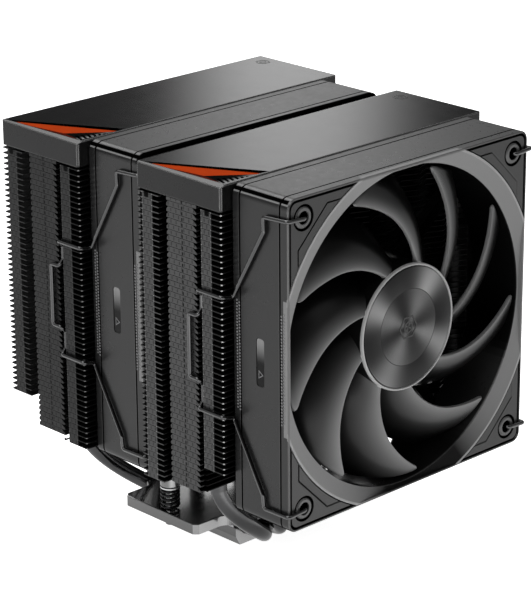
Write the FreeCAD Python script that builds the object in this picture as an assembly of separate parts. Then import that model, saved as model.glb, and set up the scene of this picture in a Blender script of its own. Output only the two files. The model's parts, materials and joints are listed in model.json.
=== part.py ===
import FreeCAD, Part
import math
import os
from FreeCAD import Vector as V

os.makedirs("parts", exist_ok=True)

# ---------------------------------------------------------------------------
# Twin-tower processor cooler with two 120 mm fans.
# Millimetres, +Z up.  Origin: centre of the cold plate's contact face.
# Front is -Y and left is -X.  From front to rear stand the front fan, the
# front fin tower, the middle fan and the rear fin tower.
# In names, HX and HY are half sizes, and a pair ending in _Y or _Z is a
# (start, end) span.
# ---------------------------------------------------------------------------

# Overall layout
TOP_Z = 158.0                  # top of the covers
FAN_AXIS_Z = 97.7
FRONT_FAN_Y = -85.25           # front face of the front fan
MIDDLE_FAN_Y = -11.15          # front face of the middle fan
TOWER_HX = 65.0
TOWER_DEPTH = 42.7
FRONT_TOWER_Y = -58.35         # front face of the front tower
REAR_TOWER_Y = -(FRONT_TOWER_Y + TOWER_DEPTH)     # the towers mirror each other

SIDES = (("left", -1), ("right", 1))
TOWERS = (("front", FRONT_TOWER_Y), ("rear", REAR_TOWER_Y))
QUADRANTS = [(a, b) for a in (-1, 1) for b in (-1, 1)]

# Heat pipes, three on each side of x = 0, listed from the outermost inwards
PIPE_R = 3.0
PIPE_Z = 6.6                   # axis height in the base
PIPE_TOP = 151.0
PIPE_BASE_X = (18.0, 10.9, 3.6)
PIPE_TOWER_X = (48.0, 29.0, 10.0)
PIPE_TOWER_Y = [-FRONT_TOWER_Y - depth for depth in (21.35, 25.0, 20.0)]


# ---------------------------------------------------------------------------
# Helpers
# ---------------------------------------------------------------------------
def box(x0, x1, y0, y1, z0, z1):
    return Part.makeBox(x1 - x0, y1 - y0, z1 - z0, V(x0, y0, z0))


def y_cyl(radius, y0, y1, x=0.0, z=0.0):
    return Part.makeCylinder(radius, y1 - y0, V(x, y0, z), V(0, 1, 0))


def z_cyl(radius, z0, z1, x=0.0, y=0.0):
    return Part.makeCylinder(radius, z1 - z0, V(x, y, z0), V(0, 0, 1))


def y_tube(outer_r, inner_r, y0, y1):
    return y_cyl(outer_r, y0, y1).cut(y_cyl(inner_r, y0 - 1, y1 + 1))


def z_tube(outer_r, inner_r, z0, z1, x):
    return z_cyl(outer_r, z0, z1, x).cut(z_cyl(inner_r, z0 - 1, z1 + 1, x))


def y_cone(r0, r1, y0, y1):
    return Part.makeCone(r0, r1, y1 - y0, V(0, y0, 0), V(0, 1, 0))


def polygon(points):
    """Closed wire through the points."""
    return Part.makePolygon(points + points[:1])


def z_prism(outline, z0, z1):
    """Prism from an outline of (x, y) points."""
    face = Part.Face(polygon([V(x, y, z0) for x, y in outline]))
    return face.extrude(V(0, 0, z1 - z0))


def y_prism(outline, y0, y1):
    """Prism from an outline of (x, z) points."""
    face = Part.Face(polygon([V(x, y0, z) for x, z in outline]))
    return face.extrude(V(0, y1 - y0, 0))


def x_prism(outline, x0, x1):
    """Prism from an outline of (y, z) points."""
    face = Part.Face(polygon([V(x0, y, z) for y, z in outline]))
    return face.extrude(V(x1 - x0, 0, 0))


def span(side, a, b):
    """The x span from a to b, placed on the left (-1) or right (1) side."""
    return sorted((side * a, side * b))


def edges_along(shape, axis):
    """Edges whose ends differ along the axis "X", "Y" or "Z"."""
    return [e for e in shape.Edges
            if abs(getattr(e.Vertexes[0], axis) - getattr(e.Vertexes[-1], axis)) > 1e-3]


def closed_edges(shape):
    return [e for e in shape.Edges if e.Closed]


def rims_at(shape, axis, place):
    """Closed edges centred at the given place along the axis "y" or "z"."""
    return [e for e in closed_edges(shape)
            if abs(getattr(e.CenterOfMass, axis) - place) < 1e-3]


def line(a, b):
    return Part.LineSegment(a, b).toShape()


def arc(a, middle, b):
    return Part.Arc(a, middle, b).toShape()


def rounded_path(points, radius):
    """Edges of a polyline whose corners are rounded."""
    points = [V(*p) for p in points]
    edges = []
    last = points[0]
    for before, corner, after in zip(points, points[1:], points[2:]):
        back = (before - corner).normalize()
        ahead = (after - corner).normalize()
        half = back.getAngle(ahead) / 2
        bisector = (back + ahead).normalize()
        setback = radius / math.tan(half)
        arc_start = corner + back * setback
        arc_end = corner + ahead * setback
        arc_mid = corner + bisector * (radius / math.sin(half) - radius)
        edges += [line(last, arc_start), arc(arc_start, arc_mid, arc_end)]
        last = arc_end
    edges.append(line(last, points[-1]))
    return edges


def sweep(edges, radius, start, direction):
    """Round rod along the edges."""
    ring = Part.Wire([Part.Circle(start, direction, radius).toShape()])
    return Part.Wire(edges).makePipeShell([ring], True, False)


def save(name, shapes):
    """Write the solids of one shape or a list of shapes as one STEP file."""
    if not isinstance(shapes, (list, tuple)):
        shapes = [shapes]
    solids = [solid for shape in shapes for solid in shape.Solids]
    out = solids[0] if len(solids) == 1 else Part.makeCompound(solids)
    out.exportStep("parts/%s.step" % name)


# ---------------------------------------------------------------------------
# Base: cold plate, clamp block, crossbar and its four countersunk screws
# ---------------------------------------------------------------------------
BASE_HX, BASE_HY, BASE_T = 24.0, 20.0, 7.1
BASE_FOOT_HX = 22.0            # the plate narrows to this at z = 0
BASE_BEVEL_Z = 3.8
BLOCK_HX, BLOCK_HY = 23.9, 18.6
BLOCK_Z = (BASE_T, 10.0)
PIPE_GROOVE_R = PIPE_R + 0.08

BAR_Z = (10.05, 14.2)
BAR_HX = 43.0
BAR_FRONT_HY = 18.8
BAR_REAR_HY = 21.2
BAR_MID_HY = 24.6              # wider middle
BAR_MID_HX = 32.0              # where the hollow fillets of the middle end
BAR_CLIP = 1.7                 # clipped corners
BAR_CHAMFER = 0.25
BAR_PIPE_R = PIPE_R + 0.3      # clearance round the pipes

BAR_SCREWS = [(sx * 22.5, sy * 14.0) for sx, sy in QUADRANTS]
BAR_SCREW_R = 1.0
BAR_SCREW_Z0 = 3.9
BAR_HOLE_R = 1.15
BASE_HOLE_R = 1.1
SINK_H = 1.15                  # countersink height, also of the screw heads
SINK_SPREAD = 1.1              # how much a countersink widens in radius
SINK_GAP = 0.05                # heads lie this far below the bar's top
CROSS_HALF_L, CROSS_HALF_W, CROSS_DEPTH = 1.4, 0.22, 0.6
DRILL_Z = (5, 20)

SPRING_SCREW_X = 38.5
SPRING_HOLE_R = 2.3


def pipe_grooves():
    return [y_cyl(PIPE_GROOVE_R, -40, 40, sx * x, PIPE_Z) for x in PIPE_BASE_X for sx in (-1, 1)]


def cold_plate():
    half = [(BASE_FOOT_HX, 0), (BASE_HX, BASE_BEVEL_Z), (BASE_HX, BASE_T)]
    outline = half + [(-x, z) for x, z in half[::-1]]
    plate = y_prism(outline, -BASE_HY, BASE_HY)
    for groove in pipe_grooves():
        plate = plate.cut(groove)
    for x, y in BAR_SCREWS:
        plate = plate.cut(z_cyl(BASE_HOLE_R, 3.6, DRILL_Z[1], x, y))
    return plate


def clamp_block():
    block = box(-BLOCK_HX, BLOCK_HX, -BLOCK_HY, BLOCK_HY, *BLOCK_Z)
    for groove in pipe_grooves():
        block = block.cut(groove)
    for x, y in BAR_SCREWS:
        block = block.cut(z_cyl(BASE_HOLE_R, *DRILL_Z, x, y))
    return block


def bar_quarter(sx, sy, half_y):
    """One quarter of the crossbar's outline, as edges and its two end points."""
    fillet = BAR_MID_HY - half_y
    sag = fillet * (1 - math.sqrt(0.5))
    neck = BAR_MID_HX - fillet
    points = [(neck, BAR_MID_HY), (neck + sag, half_y + sag), (BAR_MID_HX, half_y),
              (BAR_HX - BAR_CLIP, half_y), (BAR_HX, half_y - BAR_CLIP)]
    points = [V(sx * x, sy * y, BAR_Z[0]) for x, y in points]
    if sx * sy > 0:            # runs from the end of the bar to its middle
        points.reverse()
        edges = [line(*points[0:2]), line(*points[1:3]), arc(*points[2:5])]
    else:
        edges = [arc(*points[0:3]), line(*points[2:4]), line(*points[3:5])]
    return edges, points[0], points[-1]


def bar_outline():
    """Anticlockwise round the bar, starting along its left end."""
    quarters = [bar_quarter(-1, -1, BAR_FRONT_HY), bar_quarter(1, -1, BAR_FRONT_HY),
                bar_quarter(1, 1, BAR_REAR_HY), bar_quarter(-1, 1, BAR_REAR_HY)]
    edges = []
    last = quarters[-1][2]
    for quarter, first_point, last_point in quarters:
        edges += [line(last, first_point)] + quarter
        last = last_point
    return Part.Face(Part.Wire(edges))


def countersink(radius, x, y, z):
    return Part.makeCone(radius, radius + SINK_SPREAD, SINK_H, V(x, y, z), V(0, 0, 1))


def crossbar():
    """Crossbar before the heat pipes are cut from it."""
    top = BAR_Z[1]
    bar = bar_outline().extrude(V(0, 0, top - BAR_Z[0]))
    for sx in (-1, 1):
        bar = bar.cut(z_cyl(SPRING_HOLE_R, *DRILL_Z, sx * SPRING_SCREW_X, 0))
    for x, y in BAR_SCREWS:
        bar = bar.cut(z_cyl(BAR_HOLE_R, *DRILL_Z, x, y))
        bar = bar.cut(countersink(BAR_HOLE_R, x, y, top - SINK_H))
    # guards the chamfer of the upper outline: if it fails, the edge stays sharp
    try:
        outline = [e for e in bar.Edges
                   if all(abs(v.Z - top) < 1e-4 for v in e.Vertexes) and len(e.Vertexes) == 2]
        bar = bar.makeChamfer(BAR_CHAMFER, outline)
    except Exception:
        pass
    return bar


def bar_screw(x, y):
    top = BAR_Z[1]
    head_z = top - SINK_H - SINK_GAP
    screw = z_cyl(BAR_SCREW_R, BAR_SCREW_Z0, head_z, x, y)
    screw = screw.fuse(countersink(BAR_SCREW_R, x, y, head_z))
    for hx, hy in ((CROSS_HALF_L, CROSS_HALF_W), (CROSS_HALF_W, CROSS_HALF_L)):
        screw = screw.cut(box(x - hx, x + hx, y - hy, y + hy, top - CROSS_DEPTH, top + 1))
    return screw


save("base_plate", cold_plate())
save("base_clamp_block", clamp_block())
save("bracket_screws", [bar_screw(x, y) for x, y in BAR_SCREWS])

# ---------------------------------------------------------------------------
# Spring screws: screw, washer, retaining ring and spring on each side
# ---------------------------------------------------------------------------
TIP_Z = 7.6
HEAD_Z = (23.15, 29.6)
HEAD_R, HEAD_CHAMFER = 3.7, 0.45
SLOT_R, SLOT_HALF_W, SLOT_DEPTH = 3.0, 0.6, 1.6      # cross slot in the head
SHANK_R = 1.8
TIP_R, TIP_CHAMFER = 2.0, 0.3
NECK_Z, NECK_R = (9.3, 9.9), 1.55                    # groove for the retaining ring
SPRING_Z = (BAR_Z[1] + 0.05, 22.6)
SPRING_R, SPRING_WIRE_R, SPRING_TURNS = 3.25, 0.55, 4.5


def spring_screw(x):
    head = z_cyl(HEAD_R, *HEAD_Z, x)
    head = head.makeChamfer(HEAD_CHAMFER, closed_edges(head))
    z0, z1 = HEAD_Z[1] - SLOT_DEPTH, HEAD_Z[1] + 1
    reach = z_cyl(SLOT_R, 20, 40, x)
    slot = box(x - 4, x + 4, -SLOT_HALF_W, SLOT_HALF_W, z0, z1).common(reach)
    slot = slot.fuse(box(x - SLOT_HALF_W, x + SLOT_HALF_W, -4, 4, z0, z1).common(reach))
    shank = z_cyl(TIP_R, TIP_Z, NECK_Z[0], x).fuse(z_cyl(SHANK_R, 9.0, HEAD_Z[0] + 0.5, x))
    shank = shank.makeChamfer(TIP_CHAMFER, rims_at(shank, "z", TIP_Z))
    return head.cut(slot).fuse(shank).cut(z_tube(3, NECK_R, *NECK_Z, x))


def washer(x):
    return z_tube(3.8, 1.9, SPRING_Z[1] + 0.03, HEAD_Z[0] - 0.03, x)


def retaining_ring(x):
    """Ring in the screw's groove, open towards the front."""
    ring = z_tube(3.3, 1.6, NECK_Z[0] + 0.05, NECK_Z[1] - 0.05, x)
    return ring.cut(box(x - 0.9, x + 0.9, -5, 0, 8, 11))


def spring(x):
    height = SPRING_Z[1] - SPRING_Z[0] - 2 * SPRING_WIRE_R
    helix = Part.makeHelix(height / SPRING_TURNS, height, SPRING_R)
    circle = Part.Circle(V(SPRING_R, 0, 0), V(0, 1, 0), SPRING_WIRE_R)
    coil = Part.Wire(helix.Edges).makePipeShell([Part.Wire([circle.toShape()])], True, True)
    coil.translate(V(x, 0, SPRING_Z[0] + SPRING_WIRE_R))
    return coil


for side_name, side in SIDES:
    screw_x = side * SPRING_SCREW_X
    save(side_name + "_spring_screw", spring_screw(screw_x))
    save(side_name + "_screw_washer", washer(screw_x))
    save(side_name + "_retaining_ring", retaining_ring(screw_x))
    save(side_name + "_spring", spring(screw_x))

# ---------------------------------------------------------------------------
# Heat pipes, and the crossbar that clears them
# ---------------------------------------------------------------------------
# Curved part of each leg, from the outermost pipe inwards.  Columns: height
# where the straight top part ends, height of the next pole, how far the lower
# pole lies beyond the base, how far the upper pole lies outside the leg.
FRONT_LEGS = ((36.0, 24.0, 26.0, 2.0),
              (36.0, 22.0, 25.0, 1.0),
              (36.0, 21.0, 24.0, 1.0))
REAR_LEGS = ((38.0, 26.0, 10.0, -1.0),
             (36.0, 22.0, 12.0, 0.0),
             (36.0, 20.0, 14.0, 0.0))


def pipe_leg(side, end, index, leg):
    """Points down one leg: its top, then the four poles of its curve.

    end is -1 for the front leg and 1 for the rear leg.
    """
    bend_z, pole_z, reach, outward = leg
    x_top, x_base = side * PIPE_TOWER_X[index], side * PIPE_BASE_X[index]
    y = PIPE_TOWER_Y[index]
    return [V(x_top, end * y, PIPE_TOP), V(x_top, end * y, bend_z),
            V(x_top, end * (y + outward), pole_z),
            V(x_base, end * (BASE_HY + reach), PIPE_Z), V(x_base, end * BASE_HY, PIPE_Z)]


def bezier(poles):
    curve = Part.BezierCurve()
    curve.setPoles(poles)
    return curve.toShape()


def heat_pipe(side, index, radius):
    front = pipe_leg(side, -1, index, FRONT_LEGS[index])
    rear = pipe_leg(side, 1, index, REAR_LEGS[index])
    edges = [line(front[0], front[1]), bezier(front[1:]), line(front[4], rear[4]),
             bezier(rear[:0:-1]), line(rear[1], rear[0])]
    return sweep(edges, radius, front[0], V(0, 0, -1))


bar = crossbar()
# numbered from left to right
PIPE_ORDER = [(-1, 0), (-1, 1), (-1, 2), (1, 2), (1, 1), (1, 0)]
for number, (side, index) in enumerate(PIPE_ORDER, 1):
    save("heat_pipe_%d" % number, heat_pipe(side, index, PIPE_R))
    bar = bar.cut(heat_pipe(side, index, BAR_PIPE_R))
save("mounting_bracket", bar)

# ---------------------------------------------------------------------------
# Fin towers.  Depths are measured rearwards from the tower's front face.
# ---------------------------------------------------------------------------
FIN_T = 0.4
FIN_PITCH = 2.05
FIN_COUNT = 52
FIN_Z0 = 42.7                  # underside of the lowest full-area fin
FIN_HOLE_R = 3.10
SHORT_FINS = 5                 # lowest fins, shortened on the tower's outer side
FRONT_SHORT_START = 11.3       # depth where the short front-tower fins start
REAR_SHORT_END = 29.6          # depth where the short rear-tower fins end
GROOVE, GROOVE_DX = (10.0, 12.3), 2.2      # clip wire's groove in each side
RECESS, RECESS_DX = (27.3, 31.4), 7.5      # deep recess in each side
FRONT_TAB = (5.0, 10.0)        # folded tabs along the sides
WIDE_TAB = (GROOVE[1], RECESS[0])
REAR_TAB = (34.8, 40.0)
TAB_H = FIN_PITCH - 0.12
TOP_TAB_H = 1.2
TOOTH_COUNT, TOOTH_W, TOOTH_DEPTH = 9, 13.0, 3.0


def teeth(edge, root, direction):
    """Zigzag points across the fin: direction 1 runs from right to left."""
    points = []
    for k in range(TOOTH_COUNT):
        x = direction * (TOOTH_COUNT / 2 - k) * TOOTH_W
        points += [(x, edge), (x - direction * TOOTH_W / 2, root)]
    return points + [(-direction * TOOTH_COUNT / 2 * TOOTH_W, edge)]


def fin_outline(start, end):
    """(x, depth) points.  A shortened edge is straight, a full one is toothed."""
    width = TOWER_HX
    groove_x, recess_x = width - GROOVE_DX, width - RECESS_DX
    front, rear = [], []
    if start == 0:
        right = [(width - 0.5, 0), (width, 0.5), (width, GROOVE[0]), (groove_x, GROOVE[0])]
        front = teeth(0, TOOTH_DEPTH, -1)
    else:
        right = [(groove_x, start)]
    right += [(groove_x, GROOVE[1]), (width, GROOVE[1]), (width, RECESS[0]),
              (recess_x, RECESS[0])]
    if end == TOWER_DEPTH:
        right += [(recess_x, RECESS[1]), (width, RECESS[1]), (width, end - 0.3),
                  (width - 0.3, end)]
        rear = teeth(end, end - TOOTH_DEPTH, 1)
    else:
        right += [(recess_x, end)]
    left = [(-x, depth) for x, depth in right[::-1]]
    return right + rear + left + front


def side_tabs(tower_y, tab, height, tapered=False):
    """One tab on each side of a fin."""
    a, b = tower_y + tab[0], tower_y + tab[1]
    tabs = []
    for side in (-1, 1):
        x0, x1 = span(side, TOWER_HX, TOWER_HX - FIN_T)
        if tapered:
            outline = [(a, 0), (a, 0.62), (a + 1.8, height), (b - 0.8, height), (b, 1.0), (b, 0)]
            tabs.append(x_prism(outline, x0, x1))
        else:
            tabs.append(box(x0, x1, a, b, 0, height))
    return tabs


def fin(tower_y, start=0.0, end=TOWER_DEPTH, uppermost=False):
    """One fin between two depths, lying at z = 0."""
    outline = [(x, tower_y + depth) for x, depth in fin_outline(start, end)]
    sheet = z_prism(outline, 0, FIN_T)
    for x, y in zip(PIPE_TOWER_X, PIPE_TOWER_Y):
        for side in (-1, 1):
            sheet = sheet.cut(z_cyl(FIN_HOLE_R, -1, 2, side * x, math.copysign(y, tower_y)))
    if uppermost:
        tabs = side_tabs(tower_y, WIDE_TAB, TOP_TAB_H)
    else:
        tabs = []
        for tab in (FRONT_TAB, WIDE_TAB, REAR_TAB):
            if start <= tab[0] and tab[1] <= end:
                tabs += side_tabs(tower_y, tab, TAB_H, tapered=tab == WIDE_TAB)
    return sheet.multiFuse(tabs).removeSplitter()


def lowest_fin(short, tower_y, leaf_span, tab):
    """A short fin with a leaf one pitch below it, joined by two side tabs."""
    leaf = short.common(box(-70, 70, tower_y + leaf_span[0], tower_y + leaf_span[1] + 1,
                            -1, FIN_PITCH + 1))
    for link in side_tabs(tower_y, tab, FIN_PITCH + 0.1):
        leaf = leaf.fuse(link)
    leaf.translate(V(0, 0, -FIN_PITCH))
    return short.fuse(leaf).removeSplitter()


def fin_tower(tower_y):
    if tower_y < 0:
        short = fin(tower_y, start=FRONT_SHORT_START)
        lowest = lowest_fin(short, tower_y, (29.0, TOWER_DEPTH), REAR_TAB)
    else:
        short = fin(tower_y, end=REAR_SHORT_END)
        lowest = lowest_fin(short, tower_y, (0.0, GROOVE[1] - 0.4), FRONT_TAB)
    fins = [lowest] + [short] * (SHORT_FINS - 1)
    fins += [fin(tower_y)] * (FIN_COUNT - SHORT_FINS - 1)
    fins.append(fin(tower_y, uppermost=True))
    return [f.translated(V(0, 0, FIN_Z0 + k * FIN_PITCH)) for k, f in enumerate(fins)]


for tower, tower_y in TOWERS:
    save(tower + "_tower_fins", fin_tower(tower_y))

# ---------------------------------------------------------------------------
# Top covers, each with a faceted inlay in a triangular opening at front left
# ---------------------------------------------------------------------------
COVER_Z0 = 148.6
COVER_WALL = 1.2
COVER_CHAMFER = 0.6
COVER_BEVEL = 0.45             # bevel on the front and rear upper edges
OPENING = [(-63.7, 40.2), (-62.4, 1.7), (-41.6, 1.1)]     # (x, depth)
INLAY_GAP = 0.15
INLAY_BOTTOM = 6.2             # inlay heights are measured down from the top
INLAY_RIM = (0.5, 0.1, 1.0)    # at the three corners of the opening
INLAY_APEX = (-56.46, 17.34, 2.0)          # x, depth, distance below the top
LOUVRES, LOUVRE_PITCH = 7, 2.3


def left_bevel_section(y, drop, x_inner):
    return polygon([V(-TOWER_HX - 0.1, y, TOP_Z + 0.1), V(-TOWER_HX - 0.1, y, TOP_Z - drop),
                    V(x_inner, y, TOP_Z + 0.02)])


def top_cover(tower_y):
    width, rear_y = TOWER_HX, tower_y + TOWER_DEPTH
    cover = box(-width, width, tower_y, rear_y, COVER_Z0, TOP_Z)
    cover = cover.makeChamfer(COVER_CHAMFER, edges_along(cover, "Z"))
    cover = cover.cut(box(-width + COVER_WALL, width - COVER_WALL,
                          tower_y + COVER_WALL, rear_y - COVER_WALL,
                          COVER_Z0 - 1, TOP_Z - COVER_WALL))
    cover = cover.cut(z_prism([(x, tower_y + depth) for x, depth in OPENING],
                              TOP_Z - 3, TOP_Z + 1))
    # bevel on the left upper edge, narrowing towards the rear
    sections = [left_bevel_section(tower_y - 0.1, 0.85, -62.6),
                left_bevel_section(rear_y + 0.1, 0.35, -64.0)]
    cover = cover.cut(Part.makeLoft(sections, True, True))
    for y, inward in ((tower_y, 1), (rear_y, -1)):
        outline = [(y - inward * 0.1, TOP_Z + 0.1), (y - inward * 0.1, TOP_Z - COVER_BEVEL),
                   (y + inward * COVER_BEVEL, TOP_Z + 0.1)]
        cover = cover.cut(x_prism(outline, -width - 1, width + 1))
    # two tongues on the inside of each side wall
    for side in (-1, 1):
        x_span = span(side, width - COVER_WALL - 0.9, width - COVER_WALL + 0.2)
        for depth in (15.0, 21.0):
            y = tower_y + depth
            cover = cover.fuse(box(*x_span, y, y + 4.0, COVER_Z0 + 0.6, TOP_Z - 6.6))
    return cover


def inset_triangle(corners, gap):
    """Triangle with its sides moved inwards, by shrinking it about its incentre."""
    corners = [V(x, y, 0) for x, y in corners]
    opposite = [(corners[i - 1] - corners[i - 2]).Length for i in range(3)]
    perimeter = sum(opposite)
    incentre = sum((c * length for c, length in zip(corners, opposite)), V()) * (1 / perimeter)
    double_area = (corners[1] - corners[0]).cross(corners[2] - corners[0]).Length
    scale = 1 - gap * perimeter / double_area
    return [incentre + (c - incentre) * scale for c in corners]


def cover_inlay(tower_y):
    corners = inset_triangle(OPENING, INLAY_GAP)
    low = [V(c.x, tower_y + c.y, TOP_Z - INLAY_BOTTOM) for c in corners]
    rim = [V(c.x, tower_y + c.y, TOP_Z - drop) for c, drop in zip(corners, INLAY_RIM)]
    apex = V(INLAY_APEX[0], tower_y + INLAY_APEX[1], TOP_Z - INLAY_APEX[2])
    faces = [Part.Face(polygon(low))]
    for i in range(3):
        j = (i + 1) % 3
        faces.append(Part.Face(polygon([low[i], low[j], rim[j], rim[i]])))
        faces.append(Part.Face(polygon([rim[i], rim[j], apex])))
    inlay = Part.Solid(Part.Shell(faces))
    if inlay.Volume < 0:
        inlay.reverse()
    # slanted slots along the front, shorter towards the right
    for k in range(LOUVRES):
        slot = box(-0.55, 0.55, -1.0, 9.5 - 1.2 * k, -2.0, 4.0)
        slot.rotate(V(0, 0, 0), V(0, 0, 1), -28)
        slot.rotate(V(0, 0, 0), V(1, 0, 0), -6)
        slot.translate(V(-61.6 + LOUVRE_PITCH * k, tower_y + 1.5, TOP_Z - 1.1))
        inlay = inlay.cut(slot)
    return max(inlay.Solids, key=lambda s: s.Volume)


for tower, tower_y in TOWERS:
    save(tower + "_top_cover", top_cover(tower_y))
    save(tower + "_cover_inlay", cover_inlay(tower_y))

# ---------------------------------------------------------------------------
# Fans, built with the front face at y = 0 and the axis through x = z = 0
# ---------------------------------------------------------------------------
FAN_HALF = 60.0
FAN_T = 26.7
FAN_CORNER_R = 3.8
FAN_HOLE_AT, FAN_HOLE_R = 52.5, 2.4        # 105 mm hole square
DUCT_R = 58.5
LIP_R = 64.4
SEAMS, SEAM_HALF_W, SEAM_DEPTH = (3.8, 23.1), 0.2, 0.4
LEAD_EXIT = (15.0, 21.0)       # y and z where the lead leaves the frame
MOTOR_MOUNT_R = 22.0
HUB_R = 23.2
HUB_Y = (1.2, 20.2)
BLADES = 9
BLADE_PHASE = 39.0             # angle of a blade's root, from +X towards +Z
SHAFT_R = 1.5
STATOR_Y = (9.0, 17.5)
STATOR_BORE_R = 5.5

# leading edge of a blade: (radius, angle in degrees)
BLADE_EDGE = [(22.4, -2.0), (24.0, 0.0), (30.0, 7.0), (36.0, 13.8),
              (42.0, 20.9), (48.0, 28.6), (54.0, 36.0), (57.3, 40.0)]
BLADE_RADII = [22.4, 27.0, 33.0, 39.0, 45.0, 51.0, 57.3]
CHORD_POINTS = 7


def rounded_square(half, radius, y0, y1):
    square = box(-half, half, y0, y1, -half, half)
    return square.makeFillet(radius, edges_along(square, "Y"))


def side_slot(x0, x1, shrink):
    """Rounded bar that fills the left side's recess, shrunk all round."""
    slot = box(x0, x1, 11.6 + shrink, 15.5 - shrink, -9.2 + shrink, 8.2 - shrink)
    return slot.makeFillet(1.2 - shrink * 0.5, edges_along(slot, "X"))


def motor_mount():
    """Disc at the rear on four struts, with a bored boss for the bearing."""
    mount = y_cyl(MOTOR_MOUNT_R, FAN_T - 3.4, FAN_T - 0.5)
    for k in range(4):
        strut = box(18.0, 59.3, FAN_T - 4.4, FAN_T - 0.6, -2.1, 2.1)
        strut.rotate(V(0, 0, 0), V(0, 1, 0), 45 + 90 * k + 6)
        mount = mount.fuse(strut)
    mount = mount.fuse(y_cyl(5.4, 8.0, FAN_T - 1.0))
    return mount.cut(y_cyl(3.5, 0.0, FAN_T - 1.6))


def fan_frame():
    frame = rounded_square(FAN_HALF, FAN_CORNER_R, 0, FAN_T)
    rim = [e for e in frame.Edges
           if abs(e.CenterOfMass.y) < 1e-4 or abs(e.CenterOfMass.y - FAN_T) < 1e-4]
    frame = frame.makeChamfer(0.35, rim)
    # flared mouths of the duct, kept inside the outer walls
    limit = rounded_square(59.0, 3.0, -1, FAN_T + 1)
    for mouth in (y_cone(LIP_R + 0.28, DUCT_R, -0.1, 2.1),
                  y_cone(DUCT_R, LIP_R - 1.8, FAN_T - 3.3, FAN_T + 0.1)):
        frame = frame.cut(mouth.common(limit))
    frame = frame.cut(y_cyl(DUCT_R, -1, FAN_T + 1))
    # corner pockets that hold the pads
    for y0, y1 in ((-1, SEAMS[0]), (SEAMS[1], FAN_T + 1)):
        pocket = rounded_square(59.3, 3.3, y0, y1)
        frame = frame.cut(pocket.cut(y_cyl(LIP_R + 0.6, y0 - 1, y1 + 1)))
    for sx, sz in QUADRANTS:
        frame = frame.cut(y_cyl(FAN_HOLE_R, -1, FAN_T + 1, sx * FAN_HOLE_AT, sz * FAN_HOLE_AT))
    # seams round the outside
    core = rounded_square(FAN_HALF - SEAM_DEPTH, FAN_CORNER_R - SEAM_DEPTH, -1, FAN_T + 1)
    for y in SEAMS:
        frame = frame.cut(box(-62, 62, y - SEAM_HALF_W, y + SEAM_HALF_W, -62, 62).cut(core))
    frame = frame.cut(side_slot(-60.5, -59.1, 0.0))
    frame = frame.fuse(motor_mount()).removeSplitter()
    return frame.cut(Part.makeCylinder(1.7, 3, V(59.0, *LEAD_EXIT), V(1, 0, 0)))


def pocket_outline(sx, sz, inner, x_cut, x_top, z_cut, z_top):
    """Corner pocket's (x, z) outline; the cut runs (x_cut, z_top) to (x_top, z_cut)."""
    points = [(inner, 0), (inner, z_top), (x_cut, z_top), (x_top, z_cut), (x_top, inner),
              (0, inner), (0, 0)]
    return [(sx * x, sz * z) for x, z in points]


def front_pad(sx, sz, quadrant):
    """Pad with a bevelled pocket and a raised ring round the screw hole."""
    hole = (sx * FAN_HOLE_AT, sz * FAN_HOLE_AT)
    pad = rounded_square(58.3, 2.5, 0.15, SEAMS[0] - 0.05)
    pad = pad.cut(y_cyl(LIP_R + 1.05, -2, 6)).common(quadrant)
    pad = pad.cut(y_prism(pocket_outline(sx, sz, 34.0, 41.2, 54.7, 41.4, 54.9), -1.0, 3.2))
    wide = pocket_outline(sx, sz, 33.0, 41.5, 55.4, 41.7, 55.6)
    slim = pocket_outline(sx, sz, 34.5, 40.9, 54.1, 41.1, 54.3)
    wires = [polygon([V(x, y, z) for x, z in outline]) for outline, y in ((wide, 0.1), (slim, 1.3))]
    pad = pad.cut(Part.makeLoft(wires, True, True))
    pad = max(pad.Solids, key=lambda s: s.Volume)
    pad = pad.cut(y_cyl(4.7, -1, 1.1, *hole))
    ring = y_cyl(3.8, 0.0, 1.2, *hole)
    ring = ring.makeChamfer(0.5, rims_at(ring, "y", 0))
    return pad.fuse(ring).cut(y_cyl(FAN_HOLE_R, -2, 6, *hole))


def rear_pad(sx, sz, quadrant):
    pad = rounded_square(58.7, 2.7, SEAMS[1] + 0.05, FAN_T - 0.05)
    pad = pad.cut(y_cyl(LIP_R + 1.05, 15, 30)).common(quadrant)
    pad = pad.cut(y_cyl(FAN_HOLE_R, 15, 30, sx * FAN_HOLE_AT, sz * FAN_HOLE_AT))
    return max(pad.Solids, key=lambda s: s.Volume)


def corner_pads():
    pads = []
    for sx, sz in QUADRANTS:
        quadrant = box(*span(sx, 0, 70), -5, 40, *span(sz, 0, 70))
        pads += [front_pad(sx, sz, quadrant), rear_pad(sx, sz, quadrant)]
    return pads


def edge_angle(radius):
    """Angle of the blade's leading edge, interpolated in BLADE_EDGE."""
    for (r0, a0), (r1, a1) in zip(BLADE_EDGE, BLADE_EDGE[1:]):
        if radius <= r1:
            return a0 + (a1 - a0) * (radius - r0) / (r1 - r0)


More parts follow.
